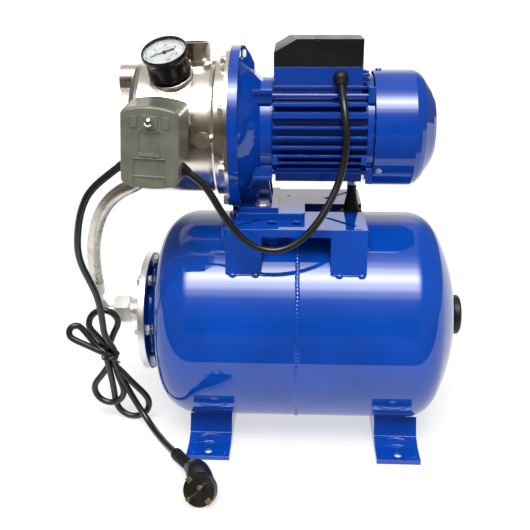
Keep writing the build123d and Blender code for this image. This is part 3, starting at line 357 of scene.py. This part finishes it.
def plastic(name, base, rough=(0.3, 0.45), grain=900.0, depth=0.03, edge_mm=0.4, strength=0.25, level=0.3):
    """Moulded plastic or rubber with a fine grain."""
    shader = Shader(name, base, roughness=rough[0], Specular_IOR_Level=level)
    if edge_mm:
        shader.soft_edges(edge_mm, coat=False)
    varied(shader, 40.0, 0.14, *rough)
    shader.bump(shader.noise(grain, detail=2), strength, depth)
    shader.bump(shader.noise(70.0, detail=2), 0.05, 0.15)
    return shader.material


def metal(name, base, rough, stretch=(1, 1, 1), line_scale=300.0, depth=0.01, edge_mm=0.3, spread=0.08):
    """Metal with drawn or turned lines."""
    shader = Shader(name, base, metallic=1.0, roughness=rough[0])
    if edge_mm:
        shader.soft_edges(edge_mm, coat=False)
    varied(shader, 30.0, spread, *rough)
    shader.bump(shader.noise(line_scale, detail=3, stretch=stretch), 0.15, depth)
    return shader.material


BLUE = (0.002, 0.052, 0.36)
TANK_PAINT = paint("tank_paint", BLUE)
SHEET_PAINT = paint("sheet_paint", BLUE, edge_mm=0.9)
MOTOR_PAINT = paint("motor_paint", (0.002, 0.045, 0.32), edge_mm=0.7, peel=0.07, coat_rough=0.055)
STAINLESS = metal("stainless", (0.80, 0.75, 0.68), (0.16, 0.27), stretch=(1, 9, 9), line_scale=90.0, depth=0.02,
                  edge_mm=0, spread=0.05)
ZINC = metal("zinc_plate", (0.86, 0.86, 0.83), (0.34, 0.48), line_scale=400.0, depth=0.03, spread=0.12)
CHROME = metal("chrome", (0.86, 0.86, 0.86), (0.03, 0.07), depth=0.004, edge_mm=0.2)
BRASS = metal("brass", (0.72, 0.55, 0.30), (0.2, 0.35), line_scale=500.0, depth=0.02)
COPPER = metal("copper_wire", (0.62, 0.26, 0.12), (0.3, 0.45), stretch=(12, 1, 1), depth=0.08)
CORE = metal("core_steel", (0.42, 0.41, 0.39), (0.3, 0.5), stretch=(40, 1, 1), line_scale=60.0, depth=0.05)
BLACK_PLASTIC = plastic("black_plastic", (0.009, 0.009, 0.009))
GLOSS_BLACK = plastic("gloss_black", (0.006, 0.006, 0.006), (0.12, 0.22), grain=500.0, depth=0.006,
                      strength=0.1)
RUBBER = plastic("black_rubber", (0.010, 0.010, 0.010), (0.42, 0.6), grain=700.0, depth=0.04)
LEAD_SKIN = plastic("lead_skin", (0.008, 0.008, 0.008), (0.26, 0.36), grain=450.0, depth=0.02, edge_mm=0,
                    strength=0.12, level=0.6)
SWITCH_GREY = plastic("switch_grey", (0.135, 0.137, 0.108), (0.24, 0.34), grain=1100.0, edge_mm=0.9, level=0.6)
DIAL_WHITE = plastic("dial_white", (0.60, 0.64, 0.655), (0.35, 0.45), edge_mm=0)
DIAL_INK = plastic("dial_ink", (0.012, 0.012, 0.014), (0.4, 0.5), edge_mm=0)
DIAL_RED = plastic("dial_red", (0.45, 0.02, 0.015), (0.4, 0.5), edge_mm=0)
CERAMIC = plastic("seal_ceramic", (0.6, 0.57, 0.5), (0.12, 0.2), grain=300.0, depth=0.01)


# ---- camera ----
CAMERA_TURN = (-2.722, 20.593, -0.267)      # yaw, downward pitch and roll, in degrees
CAMERA_PLACE = (-7.437, -933.112, 562.522)
CAMERA_LENS, SENSOR_WIDTH = 51.74, 36.0


def add_camera():
    """Camera in front of the set, looking down on it a little."""
    yaw, pitch, roll = (math.radians(angle) for angle in CAMERA_TURN)
    forward = Vector((math.sin(yaw) * math.cos(pitch), math.cos(yaw) * math.cos(pitch), -math.sin(pitch)))
    level = Vector((math.cos(yaw), -math.sin(yaw), 0))
    upright = level.cross(forward)
    right = level * math.cos(roll) + upright * math.sin(roll)
    up = upright * math.cos(roll) - level * math.sin(roll)
    camera = bpy.data.objects.new("camera", bpy.data.cameras.new("camera"))
    scene.collection.objects.link(camera)
    turn = Matrix((right, up, -forward)).transposed().to_4x4()
    camera.matrix_world = Matrix.Translation(at(*CAMERA_PLACE)) @ turn
    camera.data.lens = CAMERA_LENS
    camera.data.sensor_width = SENSOR_WIDTH
    scene.camera = camera


add_camera()


# ---- cords ----
def strand_places():
    """(x, y) where the strands of the hank pass through the tie, in a ring."""
    angles = [2 * math.pi * k / STRANDS + 0.4 for k in range(STRANDS)]
    return [(TIE[0] + STRAND_SPREAD * math.cos(a), TIE[1] + STRAND_SPREAD * math.sin(a)) for a in angles]


def loop_side(place, centre, radius, angle, bow, shares):
    """Points at shares of the way from a strand's place in the tie to the side of a loop's tip."""
    foot = centre + Vector((math.cos(angle), math.sin(angle))) * radius
    result = []
    for share in shares:
        spot = Vector((place[0], TIE[2])).lerp(foot, share)
        result.append((spot.x, place[1] + (TIE[1] + bow - place[1]) * share, spot.y))
    return result


def loop_points(start, end, tip, radius, bow):
    """One loop of the hank: out along one side, round its tip and back along the other."""
    centre, root = Vector(tip), Vector((TIE[0], TIE[2]))
    heading = math.atan2(centre.y - root.y, centre.x - root.x)
    lean = math.asin(min(0.95, radius / (centre - root).length))
    # The two loops to the right of the tie or above it run the other way round.
    side = 1 if tip[0] > -250 or tip[1] > TIE[2] and tip[0] > -280 else -1
    quarter = side * math.pi / 2
    result = loop_side(start, centre, radius, heading + quarter, bow, (0.3, 0.62))
    sweep, count = math.pi + 2 * lean * 0.4, 7 if radius > SMALL_TIP else 5
    grown = radius * 1.06
    for step in range(count):
        share = step / (count - 1)
        angle = heading + side * sweep * (0.5 - share)
        result.append((centre.x + grown * math.cos(angle), TIE[1] + bow * (1 - 2 * share),
                       centre.y + grown * math.sin(angle)))
    return result + loop_side(end, centre, radius, heading - quarter, -bow, (0.62, 0.3))


def power_route():
    """The whole power lead: from the switch to the tie, through the hank's loops, and out to the plug."""
    places = strand_places()
    route = list(POWER_ROUTE)
    for k, (tip, radius, bow) in enumerate(LOOPS):
        half = 6 if k % 2 == 0 else -6      # half the way through the tie: down first, then up
        route += [(*places[k], TIE[2] + half), (*places[k], TIE[2] - half)]
        route += loop_points(places[k], places[k + 1], tip, radius, bow)
    return route + [(*places[-1], TIE[2] + 1)] + TAIL_ROUTE


def lead(name, route, diameter, replaced, **facts):
    """A round flexible lead as a bevelled NURBS curve."""
    line = centreline(route)
    obj = spline_curve(name, route)
    obj.data.bevel_depth = diameter / 2 * MM
    obj.data.bevel_resolution = 6
    obj.data.use_fill_caps = True
    obj.data.materials.append(LEAD_SKIN)
    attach(obj, ROOT)
    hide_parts(*replaced)


def braid_height(travelled, angle):
    """Relief of a two-over-two braid on the hose, in metres."""
    carriers, pitch = 12, 13.0 * MM
    a = carriers * (angle / (2 * math.pi) + travelled / pitch)
    b = carriers * (angle / (2 * math.pi) - travelled / pitch)
    a_on_top = (math.floor(a) - math.floor(b)) % 4 < 2
    across = (a if a_on_top else b) % 1.0
    along = (b if a_on_top else a) % 1.0
    crown = 1 - (2 * across - 1) ** 4
    dip = math.sin(math.pi * along) ** 0.5
    return (0.34 * crown + 0.16 * dip) * MM


def braided_hose():
    """Stainless wire braid over the hose, as a tube with the braid's relief."""
    line = resampled(centreline(HOSE_ROUTE), BRAID_STEP * MM)
    bm = bmesh.new()
    core = (HOSE_D / 2 - BRAID_STEP) * MM
    sides = 132
    rows = tube_rows(bm, line, lambda s, a: core + braid_height(s, a), sides)
    uv = bm.loops.layers.uv.new("UVMap")
    order = {v: (k, s) for k, row in enumerate(rows) for s, v in enumerate(row)}
    for face in bm.faces:
        spots = [order[loop.vert] for loop in face.loops]
        seam = max(s for _, s in spots) == sides - 1 and min(s for _, s in spots) == 0
        for loop, (k, s) in zip(face.loops, spots):
            turn = sides if seam and s == 0 else s
            loop[uv].uv = (turn / sides, k * BRAID_STEP * MM)
    obj = piece("braided_hose", bm, BRAID, replaces=("hose_braid",), sharp=80)


def braid_material():
    """Metal of the braid's wires, with a fine grain of bumps."""
    shader = Shader("braid_wire", (0.66, 0.63, 0.58), metallic=1.0, roughness=0.25)
    varied(shader, 60.0, 0.18, 0.2, 0.36)
    shader.bump(shader.noise(1800.0, detail=1), 0.4, 0.08)
    return shader.material


BRAID = braid_material()
braided_hose()
lead("motor_lead", MOTOR_ROUTE, LEAD_D, ("motor_cable",), far_end="object", stiffness="stiff", lay="hanging")


# ---- tank ----
def head_curve(side, from_radius):
    """(radius, x) along a dished head from a radius near the pole out to the straight wall."""
    straight, knuckle, crown = HEADS[side]
    rise = TANK_R - knuckle
    depth = math.sqrt((crown - knuckle) ** 2 - rise**2)
    turn = math.atan2(rise, depth)
    start = math.asin(from_radius / crown)
    result = []
    for k in range(25):
        angle = start + (turn - start) * k / 24
        result.append((crown * math.sin(angle), straight - side * depth + side * crown * math.cos(angle)))
    for k in range(1, 25):
        angle = turn + (math.pi / 2 - turn) * k / 24
        result.append((rise + knuckle * math.sin(angle), straight + side * knuckle * math.cos(angle)))
    return result


def weld_ring(bm, x, radius, width, height, ripple_mm):
    """Weld bead all round the tank, with its small ripples."""
    place = along_x(TANK_Z)
    segments = 1200
    waves = round(2 * math.pi * radius / ripple_mm)
    rows = []
    for k in range(segments):
        angle = 2 * math.pi * k / segments
        lift = height * (0.86 + 0.14 * math.sin(waves * angle) + 0.08 * math.sin(17 * angle + 1))
        drift = 0.25 * math.sin(23 * angle) + 0.2 * math.sin(9 * angle + 2)
        row = []
        for step in range(7):
            across = step / 6 * 2 - 1
            r = radius - 0.3 + lift * (1 - across**2)
            along = x + drift + across * width / 2
            row.append(bm.verts.new(place @ at(r * math.cos(angle), r * math.sin(angle), along)))
        rows.append(row)
    for low, high in zip(rows, rows[1:] + rows[:1]):
        bridge(bm, low, high, loop=False)


def tank():
    """Painted steel shell with its neck ring and valve boss."""
    bm = bmesh.new()
    left, right = head_curve(-1, 50.5), head_curve(1, 14.5)
    ring = rounded([(44, -199.5), (44, -203.5), (76, -203.5), (76, -200), (51, -200), (50.2, -197)], 0.9)
    boss = rounded([(14.4, 193.5), (14.0, 199), (4.3, 199), (4.3, 190)], 0.8)
    spin(bm, ring + left + list(reversed(right)) + boss, along_x(TANK_Z), segments=256)
    piece("tank_body", bm, TANK_PAINT, replaces=("tank_shell",), sharp=50)
    bm = bmesh.new()
    weld_ring(bm, SEAM_X, TANK_R, 6.4, 1.5, 4.6)
    piece("tank_weld", bm, TANK_PAINT, sharp=70)


tank()

# ---- materials of the CAD nodes that stay ----
STAYING = {
    SHEET_PAINT: ("tank_foot_left", "tank_foot_right", "pump_saddle", "base_plate"),
    MOTOR_PAINT: ("motor_bell", "motor_housing", "end_shield", "fan_cover", "tie_rods"),
    STAINLESS: ("pump_casing", "casing_fittings", "seal_plate", "impeller", "impeller_nut", "motor_shaft"),
    ZINC: ("tank_flange", "flange_bolts", "pump_bolts", "hose_nut", "hose_fittings", "switch_base",
           "cover_screws", "support_stud"),
    CHROME: ("switch_acorn_nut",),
    BRASS: ("air_valve", "plug_contacts", "terminal_block"),
    COPPER: ("stator_windings",),
    CORE: ("stator_core", "rotor_core", "ball_bearings", "switch_mechanism", "switch_lever"),
    BLACK_PLASTIC: ("valve_cap", "terminal_cover", "cooling_fan", "run_capacitor", "plug_body", "diffuser",
                    "ejector"),
    RUBBER: ("tank_bladder", "casing_o_ring", "support_foot", "switch_bushes", "cable_gland",
             "plug_strain_relief"),
    SWITCH_GREY: ("switch_cover",),
    CERAMIC: ("seal_fixed_ring", "seal_turning_ring"),
}
for material, names in STAYING.items():
    for name in names:
        nodes[name].data.materials.clear()
        nodes[name].data.materials.append(material)


def clear_window():
    """Clear plastic of the gauge's window."""
    shader = Shader("gauge_window", (1, 1, 1), roughness=0.02, Transmission_Weight=1.0, IOR=1.25, Alpha=0.12)
    shader.bump(shader.noise(60.0, detail=1), 0.02, 0.1)
    return shader.material


# ---- small shapes ----
def slab(bm, place, x, y, z, bevel=0.25):
    """Bevelled block from (low, high) pairs in millimetres, in a frame."""
    made = bmesh.ops.create_cube(bm, size=1.0)["verts"]
    for vert in made:
        vert.co = at(*(low + (high - low) * (share + 0.5) for (low, high), share in zip((x, y, z), vert.co)))
    if bevel:
        edges = list({edge for vert in made for edge in vert.link_edges})
        cut = bmesh.ops.bevel(bm, geom=edges, offset=bevel * MM, segments=2, affect="EDGES", profile=0.6)
        faces = {face for vert in cut["verts"] for face in vert.link_faces}
        made = list({vert for face in faces for vert in face.verts})
    bmesh.ops.transform(bm, matrix=place, verts=made)


def bead(bm, points, radius_mm, sides=10):
    """Round bar along points in millimetres, with closed ends."""
    line = [at(*point) for point in points]
    rows = tube_rows(bm, line, lambda s, a: radius_mm * MM, sides)
    bm.faces.new(rows[0])
    bm.faces.new(list(reversed(rows[-1])))


def weld_run(bm, start, end, radius_mm, ripple_mm=3.0):
    """Straight weld bead with the ripples of its pool."""
    line = resampled([at(*start), at(*end)], 0.6 * MM)
    shift = rng.random() * 6

    def size(travelled, angle):
        wave = abs(math.sin(math.pi * travelled / (ripple_mm * MM) + shift))
        taper = min(1.0, travelled / (2.5 * MM), (length_of(line) - travelled) / (2.5 * MM))
        return radius_mm * MM * (0.35 + 0.65 * max(0.0, taper) ** 0.5) * (0.84 + 0.16 * wave)

    rows = tube_rows(bm, line, size, 12)
    bm.faces.new(rows[0])
    bm.faces.new(list(reversed(rows[-1])))


# ---- gauge ----
# Rings of ticks: piece, material, radius, number of steps, length and width of a tick.
SCALES = (("dial_ticks_fine", DIAL_INK, 21.4, 50, 1.9, 0.26),
          ("dial_ticks_long", DIAL_INK, 20.8, 10, 3.2, 0.6),
          ("dial_inner_scale", DIAL_RED, 10.2, 28, 1.4, 0.4))
NUMBERS_R, NUMBERS_SIZE = 14.6, 5.2
DRUM = ((9.2, 4.0), (22.6, 4.0), (24.6, 5.4), (24.7, 9.6), (24.1, 10.2), (24.1, 24.0), (25.2, 27.5),
        (26.5, 29.5), (26.6, 33.4), (25.9, 34.7), (25.0, 35.0), (24.6, 34.2), (24.5, 29.0), (9.2, 27.0))
POINTER_HALF = ((-11.8, 1.0), (-11.0, 1.25), (-2.0, 0.8), (2.0, 0.75), (16.0, 0.35), (17.2, 0.2))
POINTER_LOW, POINTER_HIGH = 31.6, 32.0


def gauge_place():
    """Frame on the casing under the gauge: Z along the gauge's axis, X to the right."""
    tilt, lean = math.radians(GAUGE_TILT), math.radians(GAUGE_LEAN)
    out = Vector((0, -math.sin(tilt), math.cos(tilt)))
    axis = Vector((-math.sin(lean), out.y * math.cos(lean), out.z * math.cos(lean)))
    across = Vector((1, 0, -axis.x / axis.z)).normalized()
    up = axis.cross(across)
    turn = Matrix((across, up, axis)).transposed().to_4x4()
    return Matrix.Translation(at(GAUGE_X, CASING_R * out.y, AXIS_Z + CASING_R * out.z)) @ turn


def dial_numbers(place, z):
    """Numbers of the scale, as flat letters lying on the dial."""
    for k, number in enumerate(("0", "2", "4", "6", "8", "10")):
        angle = math.radians(POINTER_TURN - SCALE_SWEEP * k / 5)
        data = bpy.data.curves.new(f"dial_number_{k}", "FONT")
        data.body = number
        data.size = NUMBERS_SIZE * MM
        data.offset = 0.10 * MM
        data.align_x = data.align_y = "CENTER"
        data.extrude = 0.03 * MM
        text = bpy.data.objects.new(f"dial_number_{k}", data)
        scene.collection.objects.link(text)
        spot = at(NUMBERS_R * math.cos(angle), NUMBERS_R * math.sin(angle), z)
        text.matrix_world = place @ Matrix.Translation(spot)
        data.materials.append(DIAL_INK)
        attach(text, ROOT)


def gauge_details():
    """Scale of the dial, and the raised seat that the gauge stands on."""
    place = gauge_place()
    for name, material, radius, count, long_mm, wide_mm in SCALES:
        bm = bmesh.new()
        for k in range(count + 1):
            turn = Matrix.Rotation(math.radians(POINTER_TURN - SCALE_SWEEP * k / count), 4, "Z")
            slab(bm, place @ turn, (radius - long_mm / 2, radius + long_mm / 2), (-wide_mm / 2, wide_mm / 2),
                 (DIAL_TOP - 0.06, DIAL_TOP + 0.08), bevel=0)
        ring_radius = radius + long_mm / 2
        angles = [math.radians(POINTER_TURN - SCALE_SWEEP * k / 100) for k in range(101)]
        inner, outer = ([bm.verts.new(place @ at(size * math.cos(a), size * math.sin(a), DIAL_TOP + 0.07))
                         for a in angles] for size in (ring_radius, ring_radius * 1.016))
        bridge(bm, inner, outer, loop=False)
        piece(name, bm, material)
    dial_numbers(place, DIAL_TOP + 0.08)
    bm = bmesh.new()
    seat = rounded([(20, -4), (25.8, -4), (25.8, 1.4), (20.5, 2.4), (9, 2.4), (9, -2)], 0.9)
    spin(bm, seat, place, segments=96)
    piece("gauge_seat", bm, STAINLESS)
    gauge_drum(place)


def gauge_drum(place):
    """Straight black drum with its back flange and rolled bezel, then the dial, the window and the pointer."""
    bm = bmesh.new()
    spin(bm, rounded(DRUM, 0.5, closed=True), place, closed=True)
    piece("gauge_drum", bm, GLOSS_BLACK, replaces=("gauge_case",))
    bm = bmesh.new()
    spin(bm, [(0.5, 29.2), (24.4, 29.2), (24.4, DIAL_TOP), (0.5, DIAL_TOP)], place, closed=True)
    piece("dial_plate", bm, DIAL_WHITE, replaces=("gauge_dial",))
    bm = bmesh.new()
    spin(bm, rounded([(0, 33.1), (24.45, 33.1), (24.45, 33.7), (14, 34.4), (0, 34.6)], 0.2), place)
    piece("gauge_window", bm, clear_window(), replaces=("gauge_lens",))
    bm = bmesh.new()
    turn = place @ Matrix.Rotation(math.radians(POINTER_TURN), 4, "Z")
    rim = [*POINTER_HALF, *((x, -y) for x, y in reversed(POINTER_HALF))]
    low, high = ([bm.verts.new(turn @ at(x, y, z)) for x, y in rim] for z in (POINTER_LOW, POINTER_HIGH))
    bridge(bm, low, high)
    bm.faces.new(low)
    bm.faces.new(high)
    hub = rounded([(0, DIAL_TOP), (2.4, DIAL_TOP), (2.4, 32.3), (1.5, 32.8), (0, 32.9)], 0.2)
    spin(bm, hub, place, segments=48)
    piece("pointer_blade", bm, BLACK_PLASTIC, body="gauge_pointer", replaces=("gauge_needle",))


gauge_details()


# ---- tank end and bracket welds ----
LEG_WELDS = ((-92, -45, (-85.2, -58.7)), (31, 71, (39.8, 66.4)))    # each leg's two ends in x, and its blobs
THREAD_X, THREAD_R, THREAD_PITCH, THREAD_TURNS = -233, 14.5, 2.1, 11


def tank_details():
    """Rim of the cover flange, thread of its nipple, and the welds of the bracket's legs."""
    bm = bmesh.new()
    spin(bm, rounded([(76.9, -208.3), (78.4, -208.3), (78.4, -200.3), (76.9, -200.3)], 0.5, closed=True),
         along_x(TANK_Z), segments=192, closed=True)
    piece("flange_rim", bm, ZINC)
    bm = bmesh.new()
    turns = [k / 64 for k in range(THREAD_TURNS * 64 + 1)]
    line = [at(THREAD_X + THREAD_PITCH * turn, THREAD_R * math.cos(2 * math.pi * turn),
               TANK_Z + THREAD_R * math.sin(2 * math.pi * turn)) for turn in turns]
    tube_rows(bm, line, lambda s, a: 0.62 * MM, 8)
    piece("nipple_thread", bm, ZINC)
    bm = bmesh.new()
    for side in (-1, 1):
        height = TANK_Z + math.sqrt(TANK_R**2 - LEG_Y**2) + 0.4
        for low, high, blobs in LEG_WELDS:
            weld_run(bm, (low, side * LEG_Y, height), (high, side * LEG_Y, height), 1.2)
            for x in blobs:
                ends = ((x + half, side * LEG_Y, height - 0.6) for half in (-4.4, 4.4))
                weld_run(bm, *ends, 3.4, ripple_mm=9.0)
    piece("bracket_welds", bm, TANK_PAINT)


tank_details()


# Pressed arcs of a foot: half width, depth, radius of the bead, y where it starts.
FOOT_ARCS = ((17.5, 13.0, 1.9, -104.0), (10.0, 5.0, 1.8, -106.0))
FOOT_BEND_Y, FOOT_SLOPE = -104.0, 6 / 16
FOOT_TOP = 6.1


def foot_presses():
    """Pressed arch and crescent on the sloping part of each foot, and its small corner dimples."""
    for name, x in (("left", -FOOT_X), ("right", FOOT_X)):
        bm = bmesh.new()
        for side in (-1, 1):
            for width, depth, radius, start in FOOT_ARCS:
                arc = []
                for k in range(33):
                    angle = math.pi * k / 32
                    y = start + depth * math.sin(angle)
                    rise = max(0.0, y - FOOT_BEND_Y) * FOOT_SLOPE
                    arc.append((x + width * math.cos(angle), side * y, FOOT_TOP + rise))
                bead(bm, arc, radius, 12)
        # The dimples come last: what is made after a bevel is stored in an order that varies between runs.
        for side in (-1, 1):
            for offset in (-20, 20):
                corner = Matrix.Translation(at(x + offset, side * 124, 6))
                slab(bm, corner, (-1.2, 1.2), (-1.2, 1.2), (-0.8, 0.5), 0.45)
        piece(f"foot_presses_{name}", bm, SHEET_PAINT)


def box_lug():
    """Stepped and ribbed lug cast on the end of the terminal box."""
    bm = bmesh.new()
    place = Matrix.Identity(4)
    slab(bm, place, (62.5, 70.5), (-30, -18), (441, 463), 0.7)
    for k in range(4):
        slab(bm, place, (62.8, 71.8), (-31.2, -17.5), (442.5 + 5 * k, 444.6 + 5 * k), 0.6)
    slab(bm, place, (62.5, 73.5), (-29, -19), (438.5, 441.8), 0.6)
    piece("box_lug", bm, MOTOR_PAINT)


foot_presses()
box_lug()


# ---- wire tie of the mains lead ----
def wire_tie():
    """Thin coated wire wound twice round the hank, with its twisted ends."""
    bm = bmesh.new()
    spread = STRAND_SPREAD + LEAD_D / 2 + 0.7
    lean = math.radians(12)
    ring = []
    for k in range(97):
        angle = 2 * math.pi * k / 48
        x, y = spread * math.cos(angle), spread * math.sin(angle)
        ring.append((TIE[0] + x, TIE[1] + y, TIE[2] + x * math.tan(lean) + 0.03 * k - 1.4))
    bead(bm, ring, 0.75, 8)
    base = Vector((TIE[0] + 6, TIE[1] - spread * 0.9, TIE[2]))
    for phase in (0, math.pi):
        twist = []
        for k in range(26):
            angle = 0.9 * k + phase
            twist.append(base + Vector((0.9 * math.cos(angle) + 0.42 * k, -0.35 * k, 0.9 * math.sin(angle))))
        bead(bm, twist, 0.6, 8)
    return piece("wire_tie", bm, LEAD_SKIN, replaces=("cord_tie",))


lead("power_lead", power_route(), LEAD_D, ("power_cord_upper", "power_cord_hank", "power_cord_tail"),
     far_end="plug", stiffness="medium", lay="coiled",
     with_pieces=["plug_strain_relief", "plug_body", "plug_contacts", wire_tie()])


# ---- stage ----
STAGE, FRONT_EDGE = 8.0, -0.34      # half the floor, and where the dark room starts, in metres


def card(name, x, y, z, material, unseen=False):
    """Flat rectangle of the stage, from (low, high) pairs in metres; z is its height."""
    bm = bmesh.new()
    corners = [bm.verts.new((a, b, z)) for a, b in ((x[0], y[0]), (x[1], y[0]), (x[1], y[1]), (x[0], y[1]))]
    bm.faces.new(corners)
    mesh = bpy.data.meshes.new(name)
    bm.to_mesh(mesh)
    bm.free()
    mesh.materials.append(material)
    obj = bpy.data.objects.new(name, mesh)
    scene.collection.objects.link(obj)
    if unseen:
        obj.visible_camera = False
        obj.visible_diffuse = False
        obj.visible_shadow = False
        obj.visible_transmission = False


def world_light():
    """Dark studio with one long softbox overhead and a pale wall behind, pure white where seen directly."""
    world = bpy.data.worlds.new("studio")
    scene.world = world
    world.use_nodes = True
    tree = world.node_tree
    background = tree.nodes["Background"]
    coords = tree.nodes.new("ShaderNodeTexCoord")
    split = tree.nodes.new("ShaderNodeSeparateXYZ")
    tree.links.new(coords.outputs["Generated"], split.inputs[0])

    def maths(operation, *values):
        node = tree.nodes.new("ShaderNodeMath")
        node.operation = operation
        for socket, value in zip(node.inputs, values):
            if isinstance(value, float):
                socket.default_value = value
            else:
                tree.links.new(value, socket)
        return node.outputs[0]

    # Elevation about the X axis: 0 is level in front, 0.5 straight up and 1 level behind.
    height = maths("ARCTAN2", split.outputs["Z"], maths("MULTIPLY", split.outputs["Y"], -1.0))
    ramp = tree.nodes.new("ShaderNodeValToRGB")
    tree.links.new(maths("DIVIDE", height, math.pi), ramp.inputs["Fac"])
    ramp.color_ramp.interpolation = "EASE"
    stops = ramp.color_ramp.elements
    while len(stops) > 1:
        stops.remove(stops[0])
    for k, (degrees, level) in enumerate(SKY):
        stop = stops[0] if k == 0 else stops.new(degrees / 180)
        stop.position = degrees / 180
        stop.color = (level / SKY_PEAK, level / SKY_PEAK, level / SKY_PEAK, 1)
    side = tree.nodes.new("ShaderNodeMapRange")
    side.interpolation_type = "SMOOTHSTEP"
    for socket, number in zip(RANGE_SOCKETS, (*SOFTBOX_SIDES, 1.0, 0.0)):
        side.inputs[socket].default_value = number
    tree.links.new(maths("ABSOLUTE", split.outputs["X"]), side.inputs["Value"])
    middle = maths("MULTIPLY", maths("MULTIPLY", ramp.outputs["Color"], SKY_PEAK), side.outputs["Result"])
    ends = maths("MULTIPLY", maths("SUBTRACT", 1.0, side.outputs["Result"]), SKY_ENDS)
    level = maths("ADD", middle, ends)
    seen = tree.nodes.new("ShaderNodeLightPath").outputs["Is Camera Ray"]
    strength = maths("MAXIMUM", level, maths("MULTIPLY", seen, CAMERA_SEES))
    tree.links.new(strength, background.inputs["Strength"])
    tint = tree.nodes.new("ShaderNodeMix")
    tint.data_type = "RGBA"
    front = tree.nodes.new("ShaderNodeMapRange")
    for socket, number in zip(RANGE_SOCKETS, (*WARM_FRONT, 1.0, 0.0)):
        front.inputs[socket].default_value = number
    tree.links.new(maths("DIVIDE", height, math.pi), front.inputs["Value"])
    unseen = maths("SUBTRACT", 1.0, seen)
    tree.links.new(maths("MULTIPLY", front.outputs["Result"], unseen), tint.inputs["Factor"])
    tint.inputs[6].default_value = (1.0, 0.99, 0.97, 1)
    tint.inputs[7].default_value = (*SKY_WARMTH, 1)
    tree.links.new(tint.outputs[2], background.inputs["Color"])


def stage():
    """Pale floor, and the dark room in front of it, which only the gloss on the object shows."""
    floor = Shader("pale_floor", (0.34, 0.34, 0.34), roughness=0.6, Emission_Color=(1, 1, 1, 1),
                   Emission_Strength=0.62)
    varied(floor, 3.0, 0.01, 0.55, 0.65)
    card("floor", (-STAGE, STAGE), (-STAGE, STAGE), 0.0, floor.material)
    dark = Shader("dark_room", (0.045, 0.028, 0.016), roughness=0.9)
    varied(dark, 2.0, 0.2, 0.8, 0.95)
    card("room_floor", (-STAGE, STAGE), (-STAGE, FRONT_EDGE), 0.002, dark.material, unseen=True)
    scene.view_settings.view_transform = "Standard"


world_light()
stage()
